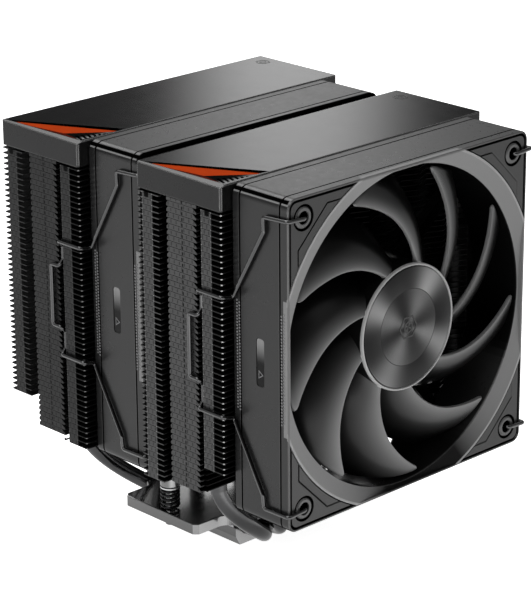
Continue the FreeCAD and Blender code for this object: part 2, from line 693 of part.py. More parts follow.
def blade():
    """Swept blade between a front and a rear surface."""
    root, tip = BLADE_RADII[0], BLADE_RADII[-1]
    front_rows, rear_rows = [], []
    for r in BLADE_RADII:
        outward = (r - root) / (tip - root)
        chord = 36.0 - 8.0 * outward       # degrees round the axis
        depth = 15.5 - 1.5 * outward
        front_row, rear_row = [], []
        for j in range(CHORD_POINTS):
            t = j / (CHORD_POINTS - 1.0)
            angle = math.radians(edge_angle(r) - chord * t)
            x, z = r * math.cos(angle), r * math.sin(angle)
            y = 3.0 + depth * (t - 0.25 * math.sin(math.pi * t))
            half_t = 0.75 + 0.55 * math.sin(math.pi * min(1.0, t + 0.25))
            front_row.append(V(x, y, z))
            rear_row.append(V(x, y + 2 * half_t, z))
        front_rows.append(front_row)
        rear_rows.append(rear_row)
    surfaces = []
    for rows in (front_rows, rear_rows):
        surface = Part.BSplineSurface()
        surface.interpolate(rows)
        surfaces.append(surface)
    faces = [surface.toShape() for surface in surfaces]
    # ruled faces close the four sides: both u ends, then both v ends
    for end in range(4):
        borders = []
        for surface in surfaces:
            iso = surface.uIso if end < 2 else surface.vIso
            borders.append(iso(surface.bounds()[end]).toShape())
        faces.append(Part.makeRuledSurface(*borders))
    skin = Part.Compound(faces)
    skin.sewShape(1e-3)
    solid = Part.Solid(skin.Shells[0])
    if solid.Volume < 0:
        solid.reverse()
    return solid


def impeller():
    """Hub, hollow from the rear and recessed at the front, with its blades."""
    hub = y_cyl(HUB_R, *HUB_Y)
    hub = hub.makeChamfer(0.7, rims_at(hub, "y", HUB_Y[0]))
    hub = hub.cut(y_cyl(22.0, 2.8, 25)).cut(y_cyl(22.2, 0, 2.0))
    pattern = blade()
    blades = []
    for k in range(BLADES):
        turned = pattern.copy()
        turned.rotate(V(0, 0, 0), V(0, 1, 0), -(BLADE_PHASE + 360.0 / BLADES * k))
        blades.append(turned.cut(y_cyl(HUB_R - 0.5, -5, 40)))
    return hub.multiFuse(blades)


def hub_cap():
    cap = y_cyl(22.05, 1.3, 1.95)
    return cap.makeChamfer(0.15, rims_at(cap, "y", 1.3))


def rotor_yoke():
    yoke = y_tube(21.85, 21.1, 2.9, 19.4).fuse(y_cyl(21.85, 2.9, 3.7))
    return yoke.fuse(y_cyl(3.6, 3.6, 7.4)).cut(y_cyl(SHAFT_R + 0.02, 2.0, 10))


def shaft():
    """Shaft with a groove near its rear end."""
    rod = y_cyl(SHAFT_R, 3.1, 24.3)
    rod = rod.makeChamfer(0.25, closed_edges(rod))
    return rod.cut(y_tube(3.0, 1.0, 23.0, 23.5))


def shaft_retainer():
    return y_tube(2.7, 1.05, 23.05, 23.45).cut(box(-0.8, 0.8, 20, 25, 0, 5))


def stator_core():
    core = y_tube(8.0, STATOR_BORE_R, *STATOR_Y)
    for k in range(4):
        neck = box(7.0, 16.2, *STATOR_Y, -2.2, 2.2)
        wedge = y_prism([(0, 0), (30, -17), (30, 17)], 5, 20)
        pole = neck.fuse(y_tube(18.2, 15.6, *STATOR_Y).common(wedge))
        pole.rotate(V(0, 0, 0), V(0, 1, 0), 90 * k)
        core = core.fuse(pole)
    return core.cut(y_cyl(STATOR_BORE_R, 0, 30)).removeSplitter()


def stator_coils():
    coils = []
    for k in range(4):
        coil = box(8.7, 14.6, 7.0, 19.5, -4.6, 4.6)
        coil = coil.makeFillet(1.8, edges_along(coil, "X"))
        coil = coil.cut(box(8, 16, STATOR_Y[0] - 0.15, STATOR_Y[1] + 0.15, -2.35, 2.35))
        coil.rotate(V(0, 0, 0), V(0, 1, 0), 90 * k)
        coils.append(coil)
    return coils


def circuit_board():
    """Round board with three small blocks on its rear face."""
    board = y_cyl(18.0, 20.8, 21.8).cut(y_cyl(5.8, 0, 30))
    for block in (box(9, 13, 21.7, 22.7, -2, 2), box(-12, -9, 21.7, 22.6, 3, 6),
                  box(-3, 1, 21.7, 22.5, 9, 12)):
        board = board.fuse(block)
    return board


def lead():
    """Sleeved lead that leaves the right side of the frame and hangs beside it."""
    points = [(59.2, *LEAD_EXIT), (62.6, *LEAD_EXIT), (62.6, 12.0, 12.0), (62.6, 11.0, -6.0)]
    return sweep(rounded_path(points, 2.6), 1.6, V(*points[0]), V(1, 0, 0))


def plug():
    """Four-way plug under the lead, with a rib on its right side."""
    body = box(60.6, 64.8, 5.6, 16.2, -21.0, -6.3)
    body = body.makeChamfer(0.4, edges_along(body, "Z"))
    for k in range(4):
        y = 6.6 + 2.54 * k
        body = body.cut(box(61.9, 63.4, y, y + 1.5, -22, -12))
    return body.fuse(box(64.7, 65.5, 9.4, 12.4, -17.0, -7.3))


FAN_PARTS = {
    "frame": [fan_frame()],
    "corner_pads": corner_pads(),
    "side_insert": [side_slot(-59.8, -59.15, 0.12)],
    "impeller": [impeller()],
    "hub_cap": [hub_cap()],
    "rotor_yoke": [rotor_yoke()],
    "magnet_ring": [y_tube(21.0, 18.7, 5.0, 19.2)],
    "shaft": [shaft()],
    "shaft_retainer": [shaft_retainer()],
    "bearing_sleeve": [y_tube(3.45, SHAFT_R + 0.03, 8.4, 22.7)],
    "stator_core": [stator_core()],
    "stator_coils": stator_coils(),
    "circuit_board": [circuit_board()],
    "lead": [lead()],
    "plug": [plug()],
}

# ---------------------------------------------------------------------------
# Wire clips that hold each fan to the tower behind it
# ---------------------------------------------------------------------------
WIRE_R = 0.75
WIRE_BEND_R = 1.15


def clip(fan_y, tower_y, side):
    """One clip, from its upper end in the fan's screw hole to its lower end."""
    face = fan_y - 1.0           # in front of the fan
    groove = tower_y + 11.4      # in the groove of the fins
    handle = tower_y + 15.7
    gap = tower_y - 1.0          # in front of the tower
    # right-hand clip; z is measured from the fan's axis
    points = [(52.6, fan_y + 4.0, 52.5), (52.6, face, 52.5), (61.0, face, 53.0),
              (61.0, fan_y + 10.6, 52.3), (61.0, fan_y + 10.3, 47.2),
              (61.0, gap, 20.3), (65.9, gap, 21.2), (65.9, groove, 21.2),
              (63.8, groove, 19.0), (63.8, groove, 13.9), (65.9, groove, 11.7),
              (65.9, handle, 11.7), (65.9, handle, -11.7),
              (65.9, groove, -11.7), (63.8, groove, -13.9), (63.8, groove, -20.3),
              (65.9, groove, -22.5), (65.9, gap, -22.5), (61.0, gap, -23.8),
              (61.0, fan_y + 11.7, -48.3), (61.0, fan_y + 11.0, -53.2),
              (61.0, face, -53.0), (52.6, face, -52.5), (52.6, fan_y + 4.0, -52.5)]
    points = [(side * x, y, z + FAN_AXIS_Z) for x, y, z in points]
    return sweep(rounded_path(points, WIRE_BEND_R), WIRE_R, V(*points[0]), V(0, -1, 0))


for fan, fan_y, tower_y in (("front_fan", FRONT_FAN_Y, FRONT_TOWER_Y),
                            ("middle_fan", MIDDLE_FAN_Y, REAR_TOWER_Y)):
    for part, shapes in FAN_PARTS.items():
        save(fan + "_" + part, [s.translated(V(0, fan_y, FAN_AXIS_Z)) for s in shapes])
    for side_name, side in SIDES:
        save("%s_%s_clip" % (fan, side_name), clip(fan_y, tower_y, side))
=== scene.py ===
"""Twin-tower cooler with two fans, standing on the floor at z = 0 (metres, +Z up).

The air path runs along Y: the front fan is at -Y, then the front tower, the middle fan and
the rear tower. X is the width, with left at -X. Sheet stacks and screws run along Z.
"""
import json
import math
import bpy
import bmesh
from mathutils import Vector, Matrix

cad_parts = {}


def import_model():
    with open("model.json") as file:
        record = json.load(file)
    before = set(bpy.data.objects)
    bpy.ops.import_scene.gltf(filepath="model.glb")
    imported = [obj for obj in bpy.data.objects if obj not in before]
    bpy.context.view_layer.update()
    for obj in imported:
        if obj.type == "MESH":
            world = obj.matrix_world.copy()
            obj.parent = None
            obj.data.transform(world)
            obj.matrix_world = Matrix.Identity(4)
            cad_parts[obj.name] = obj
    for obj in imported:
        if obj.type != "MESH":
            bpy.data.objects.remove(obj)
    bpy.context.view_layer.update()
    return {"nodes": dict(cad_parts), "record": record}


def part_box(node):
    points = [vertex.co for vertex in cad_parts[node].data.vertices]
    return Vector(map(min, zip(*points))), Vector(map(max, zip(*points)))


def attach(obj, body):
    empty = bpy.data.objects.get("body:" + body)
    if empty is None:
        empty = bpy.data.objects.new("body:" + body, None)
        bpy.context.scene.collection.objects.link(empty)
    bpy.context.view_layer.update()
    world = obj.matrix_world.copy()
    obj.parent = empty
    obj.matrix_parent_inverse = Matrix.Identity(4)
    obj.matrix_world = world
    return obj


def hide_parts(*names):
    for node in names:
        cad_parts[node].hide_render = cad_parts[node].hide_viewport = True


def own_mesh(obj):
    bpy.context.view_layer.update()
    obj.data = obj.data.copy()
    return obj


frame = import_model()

NODES = frame["nodes"]
scene = bpy.context.scene

MM = 0.001
FANS = ("front_fan", "middle_fan")

# Places the materials are laid out from, in metres
TOWER_FRONT = 0.05835     # the front tower's front face is at y = -TOWER_FRONT
TOWER_PITCH = 0.0740      # from the front tower to the rear one
FAN_FRONT = 0.08525       # the front fan's front face is at y = -FAN_FRONT
FAN_PITCH = 0.0741        # from the front fan to the middle one
FAN_SPLIT_Y = -0.035      # beyond this y everything belongs to the middle fan
FAN_AXIS_Z = 0.0977
FAN_HOLE = 0.0525         # corner holes, across and up from the fan axis
SHEET_BASE_Z = 0.0427
SHEET_PITCH = 0.00205


# ---------------------------------------------------------------------------
# node graphs
# ---------------------------------------------------------------------------
class Signal:
    """The output of a node. Arithmetic and comparisons on it add Math nodes."""

    def __init__(self, graph, socket):
        self.graph = graph
        self.socket = socket

    def __add__(self, other):
        return self.graph.math("ADD", self, other)

    def __radd__(self, other):
        return self.graph.math("ADD", other, self)

    def __sub__(self, other):
        return self.graph.math("SUBTRACT", self, other)

    def __rsub__(self, other):
        return self.graph.math("SUBTRACT", other, self)

    def __mul__(self, other):
        return self.graph.math("MULTIPLY", self, other)

    def __truediv__(self, other):
        return self.graph.math("DIVIDE", self, other)

    def __pow__(self, other):
        return self.graph.math("POWER", self, other)

    def __gt__(self, other):
        return self.graph.math("GREATER_THAN", self, other)

    def __lt__(self, other):
        return self.graph.math("LESS_THAN", self, other)

    def __abs__(self):
        return self.graph.math("ABSOLUTE", self)

    def remap(self, low=0.0, high=1.0, start=0.25, end=0.75, kind="LINEAR"):
        """low where the signal is at start, high where it is at end."""
        inputs = {0: self, 1: start, 2: end, 3: low, 4: high}
        return self.graph.value("ShaderNodeMapRange", 0, inputs, interpolation_type=kind)

    def step(self, off, on):
        """Smooth mask: 0 on the off side, 1 on the on side; off may exceed on."""
        if off < on:
            return self.remap(0.0, 1.0, off, on, "SMOOTHSTEP")
        return self.remap(1.0, 0.0, on, off, "SMOOTHSTEP")

    def band(self, low, high, soft):
        """Mask that is 1 between low and high, fading over soft outside them."""
        return self.step(off=low - soft, on=low) * self.step(off=high + soft, on=high)


class Graph:
    """The node tree of a world or material."""

    def __init__(self, owner):
        owner.use_nodes = True
        self.tree = owner.node_tree
        self.tree.nodes.clear()

    def put(self, value, socket):
        if isinstance(value, Signal):
            self.tree.links.new(value.socket, socket)
        else:
            socket.default_value = value

    def node(self, kind, inputs=None, **properties):
        node = self.tree.nodes.new(kind)
        for name, value in properties.items():
            setattr(node, name, value)
        for key, value in (inputs or {}).items():
            self.put(value, node.inputs[key])
        return node

    def value(self, kind, output, inputs=None, **properties):
        """Add a node and return one of its outputs."""
        return Signal(self, self.node(kind, inputs, **properties).outputs[output])

    def math(self, operation, a, b=0.0):
        return self.value("ShaderNodeMath", 0, {0: a, 1: b}, operation=operation)

    def separate(self, vector):
        node = self.node("ShaderNodeSeparateXYZ", {0: vector})
        return [Signal(self, output) for output in node.outputs]


SURFACE_INPUTS = {
    "color": "Base Color", "rough": "Roughness", "metal": "Metallic",
    "spec": "Specular IOR Level", "aniso": "Anisotropic", "tangent": "Tangent",
    "normal": "Normal", "coat": "Coat Weight", "coat_rough": "Coat Roughness",
    "coat_ior": "Coat IOR", "glow_color": "Emission Color", "glow": "Emission Strength"}


class MaterialGraph(Graph):
    """A new material with one Principled surface."""

    def __init__(self, name):
        self.material = bpy.data.materials.new(name)
        super().__init__(self.material)
        self.shader = self.node("ShaderNodeBsdfPrincipled")
        self.node("ShaderNodeOutputMaterial", {0: Signal(self, self.shader.outputs[0])})

    def surface(self, **values):
        """Set or link the surface's inputs and return the finished material."""
        for name, value in values.items():
            self.put(value, self.shader.inputs[SURFACE_INPUTS[name]])
        return self.material

    def math(self, operation, a, b=0.0):
        result = super().math(operation, a, b)
        result.socket.node.inputs[2].default_value = 0.0    # idle third input
        return result

    def vector_math(self, operation, a, b=(0, 0, 0)):
        output = "Value" if operation in ("DOT_PRODUCT", "LENGTH") else "Vector"
        return self.value("ShaderNodeVectorMath", output, {0: a, 1: b}, operation=operation)

    def coordinates(self, scale=(1, 1, 1)):
        """Object coordinates; a small scale stretches a texture along that axis."""
        vector = self.value("ShaderNodeTexCoord", "Object")
        return self.value("ShaderNodeMapping", 0, {0: vector, "Scale": scale})

    def noise(self, vector, scale, detail=3.0, roughness=0.5):
        inputs = {"Vector": vector, "Scale": scale, "Detail": detail, "Roughness": roughness}
        return self.value("ShaderNodeTexNoise", "Fac", inputs)

    def mix(self, amount, below, above):
        inputs = {0: amount, 6: below, 7: above}
        return self.value("ShaderNodeMix", 2, inputs, data_type="RGBA")

    def bump(self, height, strength, distance, normal=None):
        inputs = {"Strength": strength, "Distance": distance, "Height": height}
        if normal is not None:
            inputs["Normal"] = normal
        return self.value("ShaderNodeBump", 0, inputs)

    def combine(self, x=0.0, y=0.0, z=0.0):
        return self.value("ShaderNodeCombineXYZ", 0, {0: x, 1: y, 2: z})

    def position(self):
        return self.separate(self.value("ShaderNodeNewGeometry", "Position"))

    def face_normal(self):
        return self.separate(self.value("ShaderNodeNewGeometry", "True Normal"))

    def bevel(self, radius, samples):
        return self.value("ShaderNodeBevel", 0, {"Radius": radius}, samples=samples)


def either(a, b):
    """The larger signal; for masks, where one or the other is on."""
    return a.graph.math("MAXIMUM", a, b)


def capped(signal):
    return signal.graph.math("MINIMUM", signal, 1.0)


def fraction(signal):
    return signal.graph.math("FRACT", signal)


def distance(across, up):
    return across.graph.math("SQRT", across * across + up * up)


def facing(across, up, degrees):
    """Cosine between a unit direction and an angle round the fan axis, never negative."""
    angle = math.radians(degrees)
    return either(across * math.cos(angle) + up * math.sin(angle), 0.0)


def tower_depth(y):
    """Mask of the rear tower, and the depth behind either tower's front face."""
    rear = y > 0.0
    return rear, y + TOWER_FRONT - rear * TOWER_PITCH


def fan_place(g):
    """x, height over the fan axis, mask of the middle fan, depth behind the fan's front."""
    x, y, z = g.position()
    middle = y > FAN_SPLIT_Y
    depth = y + FAN_FRONT - middle * FAN_PITCH
    return x, z - FAN_AXIS_Z, middle, depth


def rgb(red, green, blue):
    return (red, green, blue, 1.0)


def grey(level):
    return rgb(level, level, level)


# ---------------------------------------------------------------------------
# general materials
# ---------------------------------------------------------------------------
def plastic(name, level, rough, spec, grain, grain_scale=9000.0, tint=(1.0, 1.0, 1.02)):
    """Moulded plastic: fine grain, slow tone variation and patchy gloss."""
    g = MaterialGraph(name)
    vector = g.coordinates()
    slow = g.noise(vector, scale=35.0, detail=2.0)
    mid = g.noise(vector, scale=420.0, detail=4.0, roughness=0.6)
    fine = g.noise(vector, scale=grain_scale, detail=2.0, roughness=0.6)
    vary = 0.12    # tone variation either way
    darker = rgb(*[level * (1 - vary) * t for t in tint])
    lighter = rgb(*[level * (1 + vary) * t for t in tint])
    color = g.mix(slow.remap(), darker, lighter)
    color = g.mix(mid.remap(low=0.0, high=0.25), color, grey(level * 1.35))
    patchy = mid.remap(low=rough - 0.05, high=rough + 0.05)
    drift = slow.remap(low=-0.03, high=0.03)
    normal = g.bump(fine, strength=0.10 * grain, distance=0.00005)
    normal = g.bump(mid, strength=0.05 * grain, distance=0.0002, normal=normal)
    return g.surface(color=color, rough=patchy + drift, spec=spec, normal=normal)


def metal(name, tone, rough, axis=None, brush=1.0, vary=0.08, coated=False):
    """Plated or machined metal; axis stretches the brushing along x, y or z."""
    g = MaterialGraph(name)
    stretched = g.coordinates(scale=tuple(0.02 if k == axis else 1.0 for k in "xyz"))
    plain = g.coordinates()
    fine = g.noise(stretched, scale=2600.0, detail=4.0, roughness=0.65)
    slow = g.noise(plain, scale=60.0)
    smudge = g.noise(plain, scale=260.0, detail=5.0, roughness=0.7)
    darker = rgb(*[t * (1 - vary) for t in tone])
    lighter = rgb(*[min(1.0, t * (1 + vary)) for t in tone])
    brushed = fine.remap(low=rough - 0.05 * brush, high=rough + 0.06 * brush)
    if coated:
        g.surface(coat=0.6, coat_rough=0.04, coat_ior=1.65)
    return g.surface(color=g.mix(slow.remap(), darker, lighter), metal=1.0,
                     rough=brushed + smudge.remap(low=-0.02, high=0.05),
                     normal=g.bump(fine, strength=0.12 * brush, distance=0.00002))


def plate_material(name, level, rough, front, left):
    """Bright nickel plate brushed along x; front and left give painted light and shade: the grey
    of the front and left faces.
    """
    g = MaterialGraph(name)
    stretched = g.coordinates(scale=(0.02, 1.0, 1.0))
    plain = g.coordinates()
    normal_x, normal_y, _ = g.face_normal()
    fine = g.noise(stretched, scale=2600.0, detail=4.0, roughness=0.65)
    slow = g.noise(plain, scale=60.0)
    smudge = g.noise(plain, scale=260.0, detail=5.0, roughness=0.7)
    color = g.mix(slow.remap(), grey(level * 0.94), grey(level * 1.06))
    # painted light and shade: front faces take the grey front, left faces the grey left
    color = g.mix(normal_y.step(off=-0.5, on=-0.9), color, grey(front))
    color = g.mix(normal_x.step(off=-0.5, on=-0.9), color, grey(left))
    brushed = fine.remap(low=rough - 0.03, high=rough + 0.03)
    rounded = g.bevel(radius=0.0004, samples=4)
    return g.surface(color=color, metal=1.0,
                     rough=brushed + smudge.remap(low=-0.01, high=0.03),
                     normal=g.bump(fine, strength=0.06, distance=0.00002, normal=rounded))


# ---------------------------------------------------------------------------
# tower materials
# ---------------------------------------------------------------------------
def cover_material():
    """Black anodised aluminium, finely brushed along y, the cover's short side."""
    base_rough = 0.13
    g = MaterialGraph("cover_black_anodised")
    stretched = g.coordinates(scale=(1.0, 0.02, 0.02))
    plain = g.coordinates()
    fine = g.noise(stretched, scale=3600.0, detail=4.0, roughness=0.65)
    slow = g.noise(plain, scale=22.0, detail=2.0)
    smudge = g.noise(plain, scale=140.0, detail=5.0, roughness=0.7)
    normal_x, _, normal_z = g.face_normal()
    x, y, z = g.position()
    _, depth = tower_depth(y)

    color = g.mix(slow.remap(), rgb(0.028, 0.028, 0.0285), rgb(0.036, 0.036, 0.0365))
    color = g.mix(fine.remap(low=0.0, high=0.30), color, grey(0.055))
    rough = (fine.remap(low=base_rough - 0.02, high=base_rough + 0.03)
             + smudge.remap(low=-0.01, high=0.02))
    top = normal_z.step(off=0.5, on=0.9)
    rough = rough + (1.0 - top) * 0.14

    # painted highlight along the edges: where the rounded normal turns away from the face, on
    # the upper rim only
    rounded = g.bevel(radius=0.0007, samples=8)
    geometry = g.node("ShaderNodeNewGeometry")
    flat_normal = Signal(g, geometry.outputs["True Normal"])
    edge_highlight = g.vector_math("DOT_PRODUCT", rounded, flat_normal).step(off=0.995, on=0.93)
    rim = either(abs(x).step(off=0.0638, on=0.0642),
                 either(depth.step(off=0.0012, on=0.0009), depth.step(off=0.0412, on=0.0416)))
    # painted light: facets that lean to the left get a lighter fixed grey
    lit_facet = normal_x.step(off=-0.12, on=-0.2) * normal_z.step(off=0.5, on=0.7)
    edge_highlight = edge_highlight * rim * z.step(off=0.1488, on=0.1496) * (1.0 - lit_facet)
    # painted shade: the side faces are darkened
    side_shade = abs(normal_z).step(off=0.5, on=0.2)
    color = g.mix(side_shade * 0.42, color, grey(0.002))
    # the walls of the inlay pit lie in shadow
    outside = either(abs(x).step(off=0.0640, on=0.0643),
                     either(depth.step(off=0.0007, on=0.0004),
                            depth.step(off=0.0414, on=0.0417)))
    wall = (abs(normal_z).step(off=0.6, on=0.3) * (1.0 - outside)
            * z.step(off=0.1490, on=0.1495))
    color = g.mix(edge_highlight * 0.8, color, grey(0.30))
    color = g.mix(lit_facet * 0.9, color, grey(0.050))
    color = g.mix(wall, color, grey(0.0006))

    # only the rim takes the rounded normal
    soft = g.value("ShaderNodeMix", 1,
                   {0: rim, 4: Signal(g, geometry.outputs["Normal"]), 5: rounded},
                   data_type="VECTOR")
    return g.surface(color=color, metal=0.85, aniso=0.3, tangent=g.combine(y=1.0),
                     rough=rough + either(edge_highlight, lit_facet) * 0.12,
                     spec=(1.0 - either(wall, lit_facet * 0.6)) * 0.5,
                     normal=g.bump(fine, strength=0.05, distance=0.00002, normal=soft))


def fin_material():
    """Black coated sheets: staggered joints on the side tabs, painted highlights on the sheared
    corners.
    """
    g = MaterialGraph("fin_black_coating")
    plain = g.coordinates()
    x, y, z = g.position()
    normal_x, _, normal_z = g.face_normal()
    across = abs(x)
    level = (z - SHEET_BASE_Z) / SHEET_PITCH
    sheet = g.math("FLOOR", level)       # number of the sheet
    rise = fraction(level)               # 0 to 1 from one sheet to the next
    odd = fraction(sheet * 0.5)
    rear, depth = tower_depth(y)
    tone = g.value("ShaderNodeTexWhiteNoise", "Value", {"W": sheet}, noise_dimensions="1D")
    slow = g.noise(plain, scale=40.0)
    fine = g.noise(plain, scale=2200.0, roughness=0.6)
    grain = g.noise(plain, scale=7000.0, detail=2.0)

    color = g.mix(slow.remap(), rgb(0.029, 0.029, 0.0295), rgb(0.036, 0.036, 0.0365))
    color = g.mix(tone * 0.45, color, rgb(0.018, 0.018, 0.0185))
    color = g.mix(fine.remap(low=0.0, high=0.5), color, grey(0.040))
    flat = abs(normal_z).step(off=0.6, on=0.9)
    inner = across.step(off=0.0640, on=0.0630)
    side = abs(normal_x).step(off=0.6, on=0.9) * (across > 0.0648)

    # staggered joints between the side tabs, at a wider pitch in the middle
    tab = side * rise.band(low=0.22, high=0.80, soft=0.03)
    wide_pitch, narrow_pitch = 0.00260, 0.00220
    wide_joint = fraction(depth / wide_pitch + odd)
    narrow_joint = fraction(depth / narrow_pitch + odd * 0.9)
    wide = depth.band(low=0.0124, high=0.0272, soft=0.0001)
    narrow = 1.0 - wide
    dash = (wide * wide_joint.band(low=0.05, high=0.24, soft=0.03)
            + narrow * narrow_joint.band(low=0.08, high=0.32, soft=0.03))
    seam = depth.band(low=0.0192, high=0.0198, soft=0.00006) * wide
    dark = either(tab * dash * 0.60,
                  side * rise.band(low=0.1, high=0.62, soft=0.05) * seam * 0.95)
    # shadow line where each tab stands on the next
    dark = either(dark, side * rise.step(off=0.10, on=0.02) * 0.35)
    # two dark windows at the top of each side
    windows = (side * z.step(off=0.14585, on=0.14595)
               * (depth.band(low=0.0059, high=0.0081, soft=0.0001)
                  + depth.band(low=0.0366, high=0.0388, soft=0.0001)))
    dark = either(dark, windows)
    color = g.mix(dark, color, grey(0.002))
    # painted shade: black between the sheets
    color = g.mix(either(flat, inner) * 0.9, color, grey(0.0022))

    # sheared metal edges, their brightness a painted highlight: front outer corner of every
    # sheet, and four tab ends along the side
    corner_glint = (depth.band(low=-0.001, high=0.00045, soft=0.0001)
              * across.step(off=0.0644, on=0.0646) * (1.0 - flat))
    end_glints = ((depth.band(low=0.00500, high=0.00525, soft=0.0001)
             + depth.band(low=0.00975, high=0.0100, soft=0.0001))
            + (depth.band(low=0.0348, high=0.03505, soft=0.0001)
               + depth.band(low=0.03975, high=0.0400, soft=0.0001)))
    end_glints = (end_glints * rise.band(low=0.02, high=0.20, soft=0.03)
            * across.step(off=0.0644, on=0.0647))
    color = g.mix(capped(corner_glint), color, grey(0.34))
    color = g.mix(end_glints * 0.8, color, grey(0.22))
    sheen = 1.0 - either(flat, inner) * 0.8

    # the front corner zone, where single sheet edges stand free, is darker than the tabs
    free = side * depth.step(off=0.0051, on=0.0049) * (1.0 - corner_glint)
    color = g.mix(free * 0.75, color, grey(0.004))
    lit = (1.0 - dark) * (1.0 - free * 0.7)
    # painted shade: the rear tower is dimmer
    shade_dimming = 1.0 - rear * 0.60
    color = g.mix(1.0 - shade_dimming, color, grey(0.004))
    # painted light: at the open back of the rear tower the free sheet edges are lightened so
    # they stay readable
    open_back_light = rear * depth.step(off=0.0290, on=0.0350) * (1.0 - side) * (1.0 - flat)
    color = g.mix(open_back_light * 0.9, color, grey(0.050))
    return g.surface(color=color, metal=0.35,
                     rough=fine.remap(low=0.30, high=0.42) + tone * 0.06,
                     spec=either(sheen * lit * shade_dimming * 0.5, open_back_light * 0.5),
                     normal=g.bump(grain, strength=0.14, distance=0.00004))


def pipe_material():
    """Dark nickel, drawn along z."""
    g = MaterialGraph("pipe_dark_nickel")
    plain = g.coordinates()
    drawn = g.noise(g.coordinates(scale=(1, 1, 0.05)), scale=1500.0, roughness=0.6)
    slow = g.noise(plain, scale=90.0, detail=4.0, roughness=0.6)
    spot = g.noise(plain, scale=700.0, detail=5.0, roughness=0.7)
    color = g.mix(slow.remap(), rgb(0.070, 0.070, 0.072), rgb(0.095, 0.095, 0.096))
    color = g.mix(spot.remap(low=0.0, high=0.25), color, grey(0.08))
    return g.surface(color=color, metal=1.0,
                     rough=drawn.remap(low=0.08, high=0.12) + slow.remap(low=-0.02, high=0.02),
                     normal=g.bump(drawn, strength=0.05, distance=0.00003))


def inlay_material():
    """Inlay: orange lacquer, the facet leaning right painted dark red as shade, and a grey one
    leaning back.
    """
    g = MaterialGraph("inlay_orange_lacquer")
    plain = g.coordinates()
    _, y, z = g.position()
    normal_x, normal_y, normal_z = g.face_normal()
    slow = g.noise(plain, scale=120.0)
    flake = g.noise(plain, scale=5200.0, detail=2.0, roughness=0.7)
    mid = g.noise(plain, scale=800.0, detail=4.0)
    color = g.mix(slow.remap(), rgb(0.33, 0.034, 0.006), rgb(0.38, 0.042, 0.008))
    color = g.mix(flake.remap(low=0.0, high=0.2, start=0.45, end=0.8), color,
                  rgb(0.44, 0.065, 0.015))
    right = normal_x.step(off=0.10, on=0.18)
    back = normal_y.step(off=0.05, on=0.08) * (1.0 - right)
    # deeper orange below the upper part
    upper = z.step(off=0.1560, on=0.1574)
    color = g.mix((1.0 - upper) * 0.25, color, rgb(0.30, 0.03, 0.006))
    # painted shade: the facet leaning right is the orange in shade
    color = g.mix(right, color, rgb(0.060, 0.009, 0.005))
    # painted light and shade: the grey facet is pale towards the tower's front and near black
    # deeper in
    _, depth = tower_depth(y)
    rim_light = depth.step(off=0.0075, on=0.0012)
    color = g.mix(back, color, g.mix(rim_light, grey(0.004), grey(0.26)))
    # painted shade: slot walls and everything below the facets go black
    wall = normal_z.step(off=0.90, on=0.80)
    deep = z.step(off=0.1555, on=0.1550)
    color = g.mix(either(wall, deep), color, grey(0.002))
    return g.surface(color=color, metal=0.0, spec=0.0, rough=mid.remap(low=0.42, high=0.52),
                     normal=g.bump(flake, strength=0.04, distance=0.00003))


# ---------------------------------------------------------------------------
# fan materials
# ---------------------------------------------------------------------------
# Painted light beams, as reflections on the hub cap: angle round the axis in degrees, sharpness,
# strength
CAP_OUTER_BEAMS = [(54, 20, 0.84), (149, 31, 0.74), (236, 16, 0.50), (329, 29, 0.62)]
CAP_INNER_BEAMS = [(58, 9, 0.40), (153, 15, 0.46), (238, 9, 0.40), (334, 20, 0.46)]
CAP_INNER_RADIUS = 0.0140     # where the inner disc meets the outer ring


def cap_material():
    """Spun dark metal: brushing in rings round the fan axis, with painted fans of light as
    reflections.
    """
    g = MaterialGraph("hub_cap_spun")
    place = g.value("ShaderNodeNewGeometry", "Position")
    place = g.vector_math("SUBTRACT", place, (0.0, 0.0, FAN_AXIS_Z))
    place = g.vector_math("MULTIPLY", place, (1, 0, 1))
    radius = g.vector_math("LENGTH", place)
    outward = g.vector_math("NORMALIZE", place)
    tangent = g.vector_math("NORMALIZE", g.vector_math("CROSS_PRODUCT", (0, 1, 0), place))
    ring_stretch = 1.0
    ring = g.noise(g.combine(x=radius * ring_stretch), scale=9000.0, roughness=0.7)
    slow = g.noise(g.coordinates(), scale=130.0, detail=2.0)
    inner = radius < CAP_INNER_RADIUS
    line = abs(radius - CAP_INNER_RADIUS) < 0.00011

    def beams(table):
        total = 0.0
        for degrees, sharpness, strength in table:
            angle = math.radians(degrees)
            direction = (math.cos(angle), 0, math.sin(angle))
            cosine = g.vector_math("DOT_PRODUCT", outward, direction)
            total = total + either(cosine, 0.0) ** sharpness * strength
        return total

    beam = g.value("ShaderNodeMix", 0,
                   {0: inner, 2: beams(CAP_OUTER_BEAMS), 3: beams(CAP_INNER_BEAMS)},
                   data_type="FLOAT")
    # beams are weaker towards the centre
    beam = beam * radius.remap(low=0.45, high=1.0, start=0.001, end=0.009)
    color = g.mix(slow.remap(), rgb(0.008, 0.008, 0.0082), rgb(0.011, 0.011, 0.0112))
    color = g.mix(beam, color, grey(0.30))
    color = g.mix(ring.remap(low=0.0, high=0.25), color, grey(0.045))
    color = g.mix(line, color, grey(0.02))
    return g.surface(color=color, metal=0.95, aniso=0.7, tangent=tangent,
                     rough=ring.remap(low=0.26, high=0.34) + inner * -0.05,
                     normal=g.bump(ring, strength=0.12, distance=0.00002))


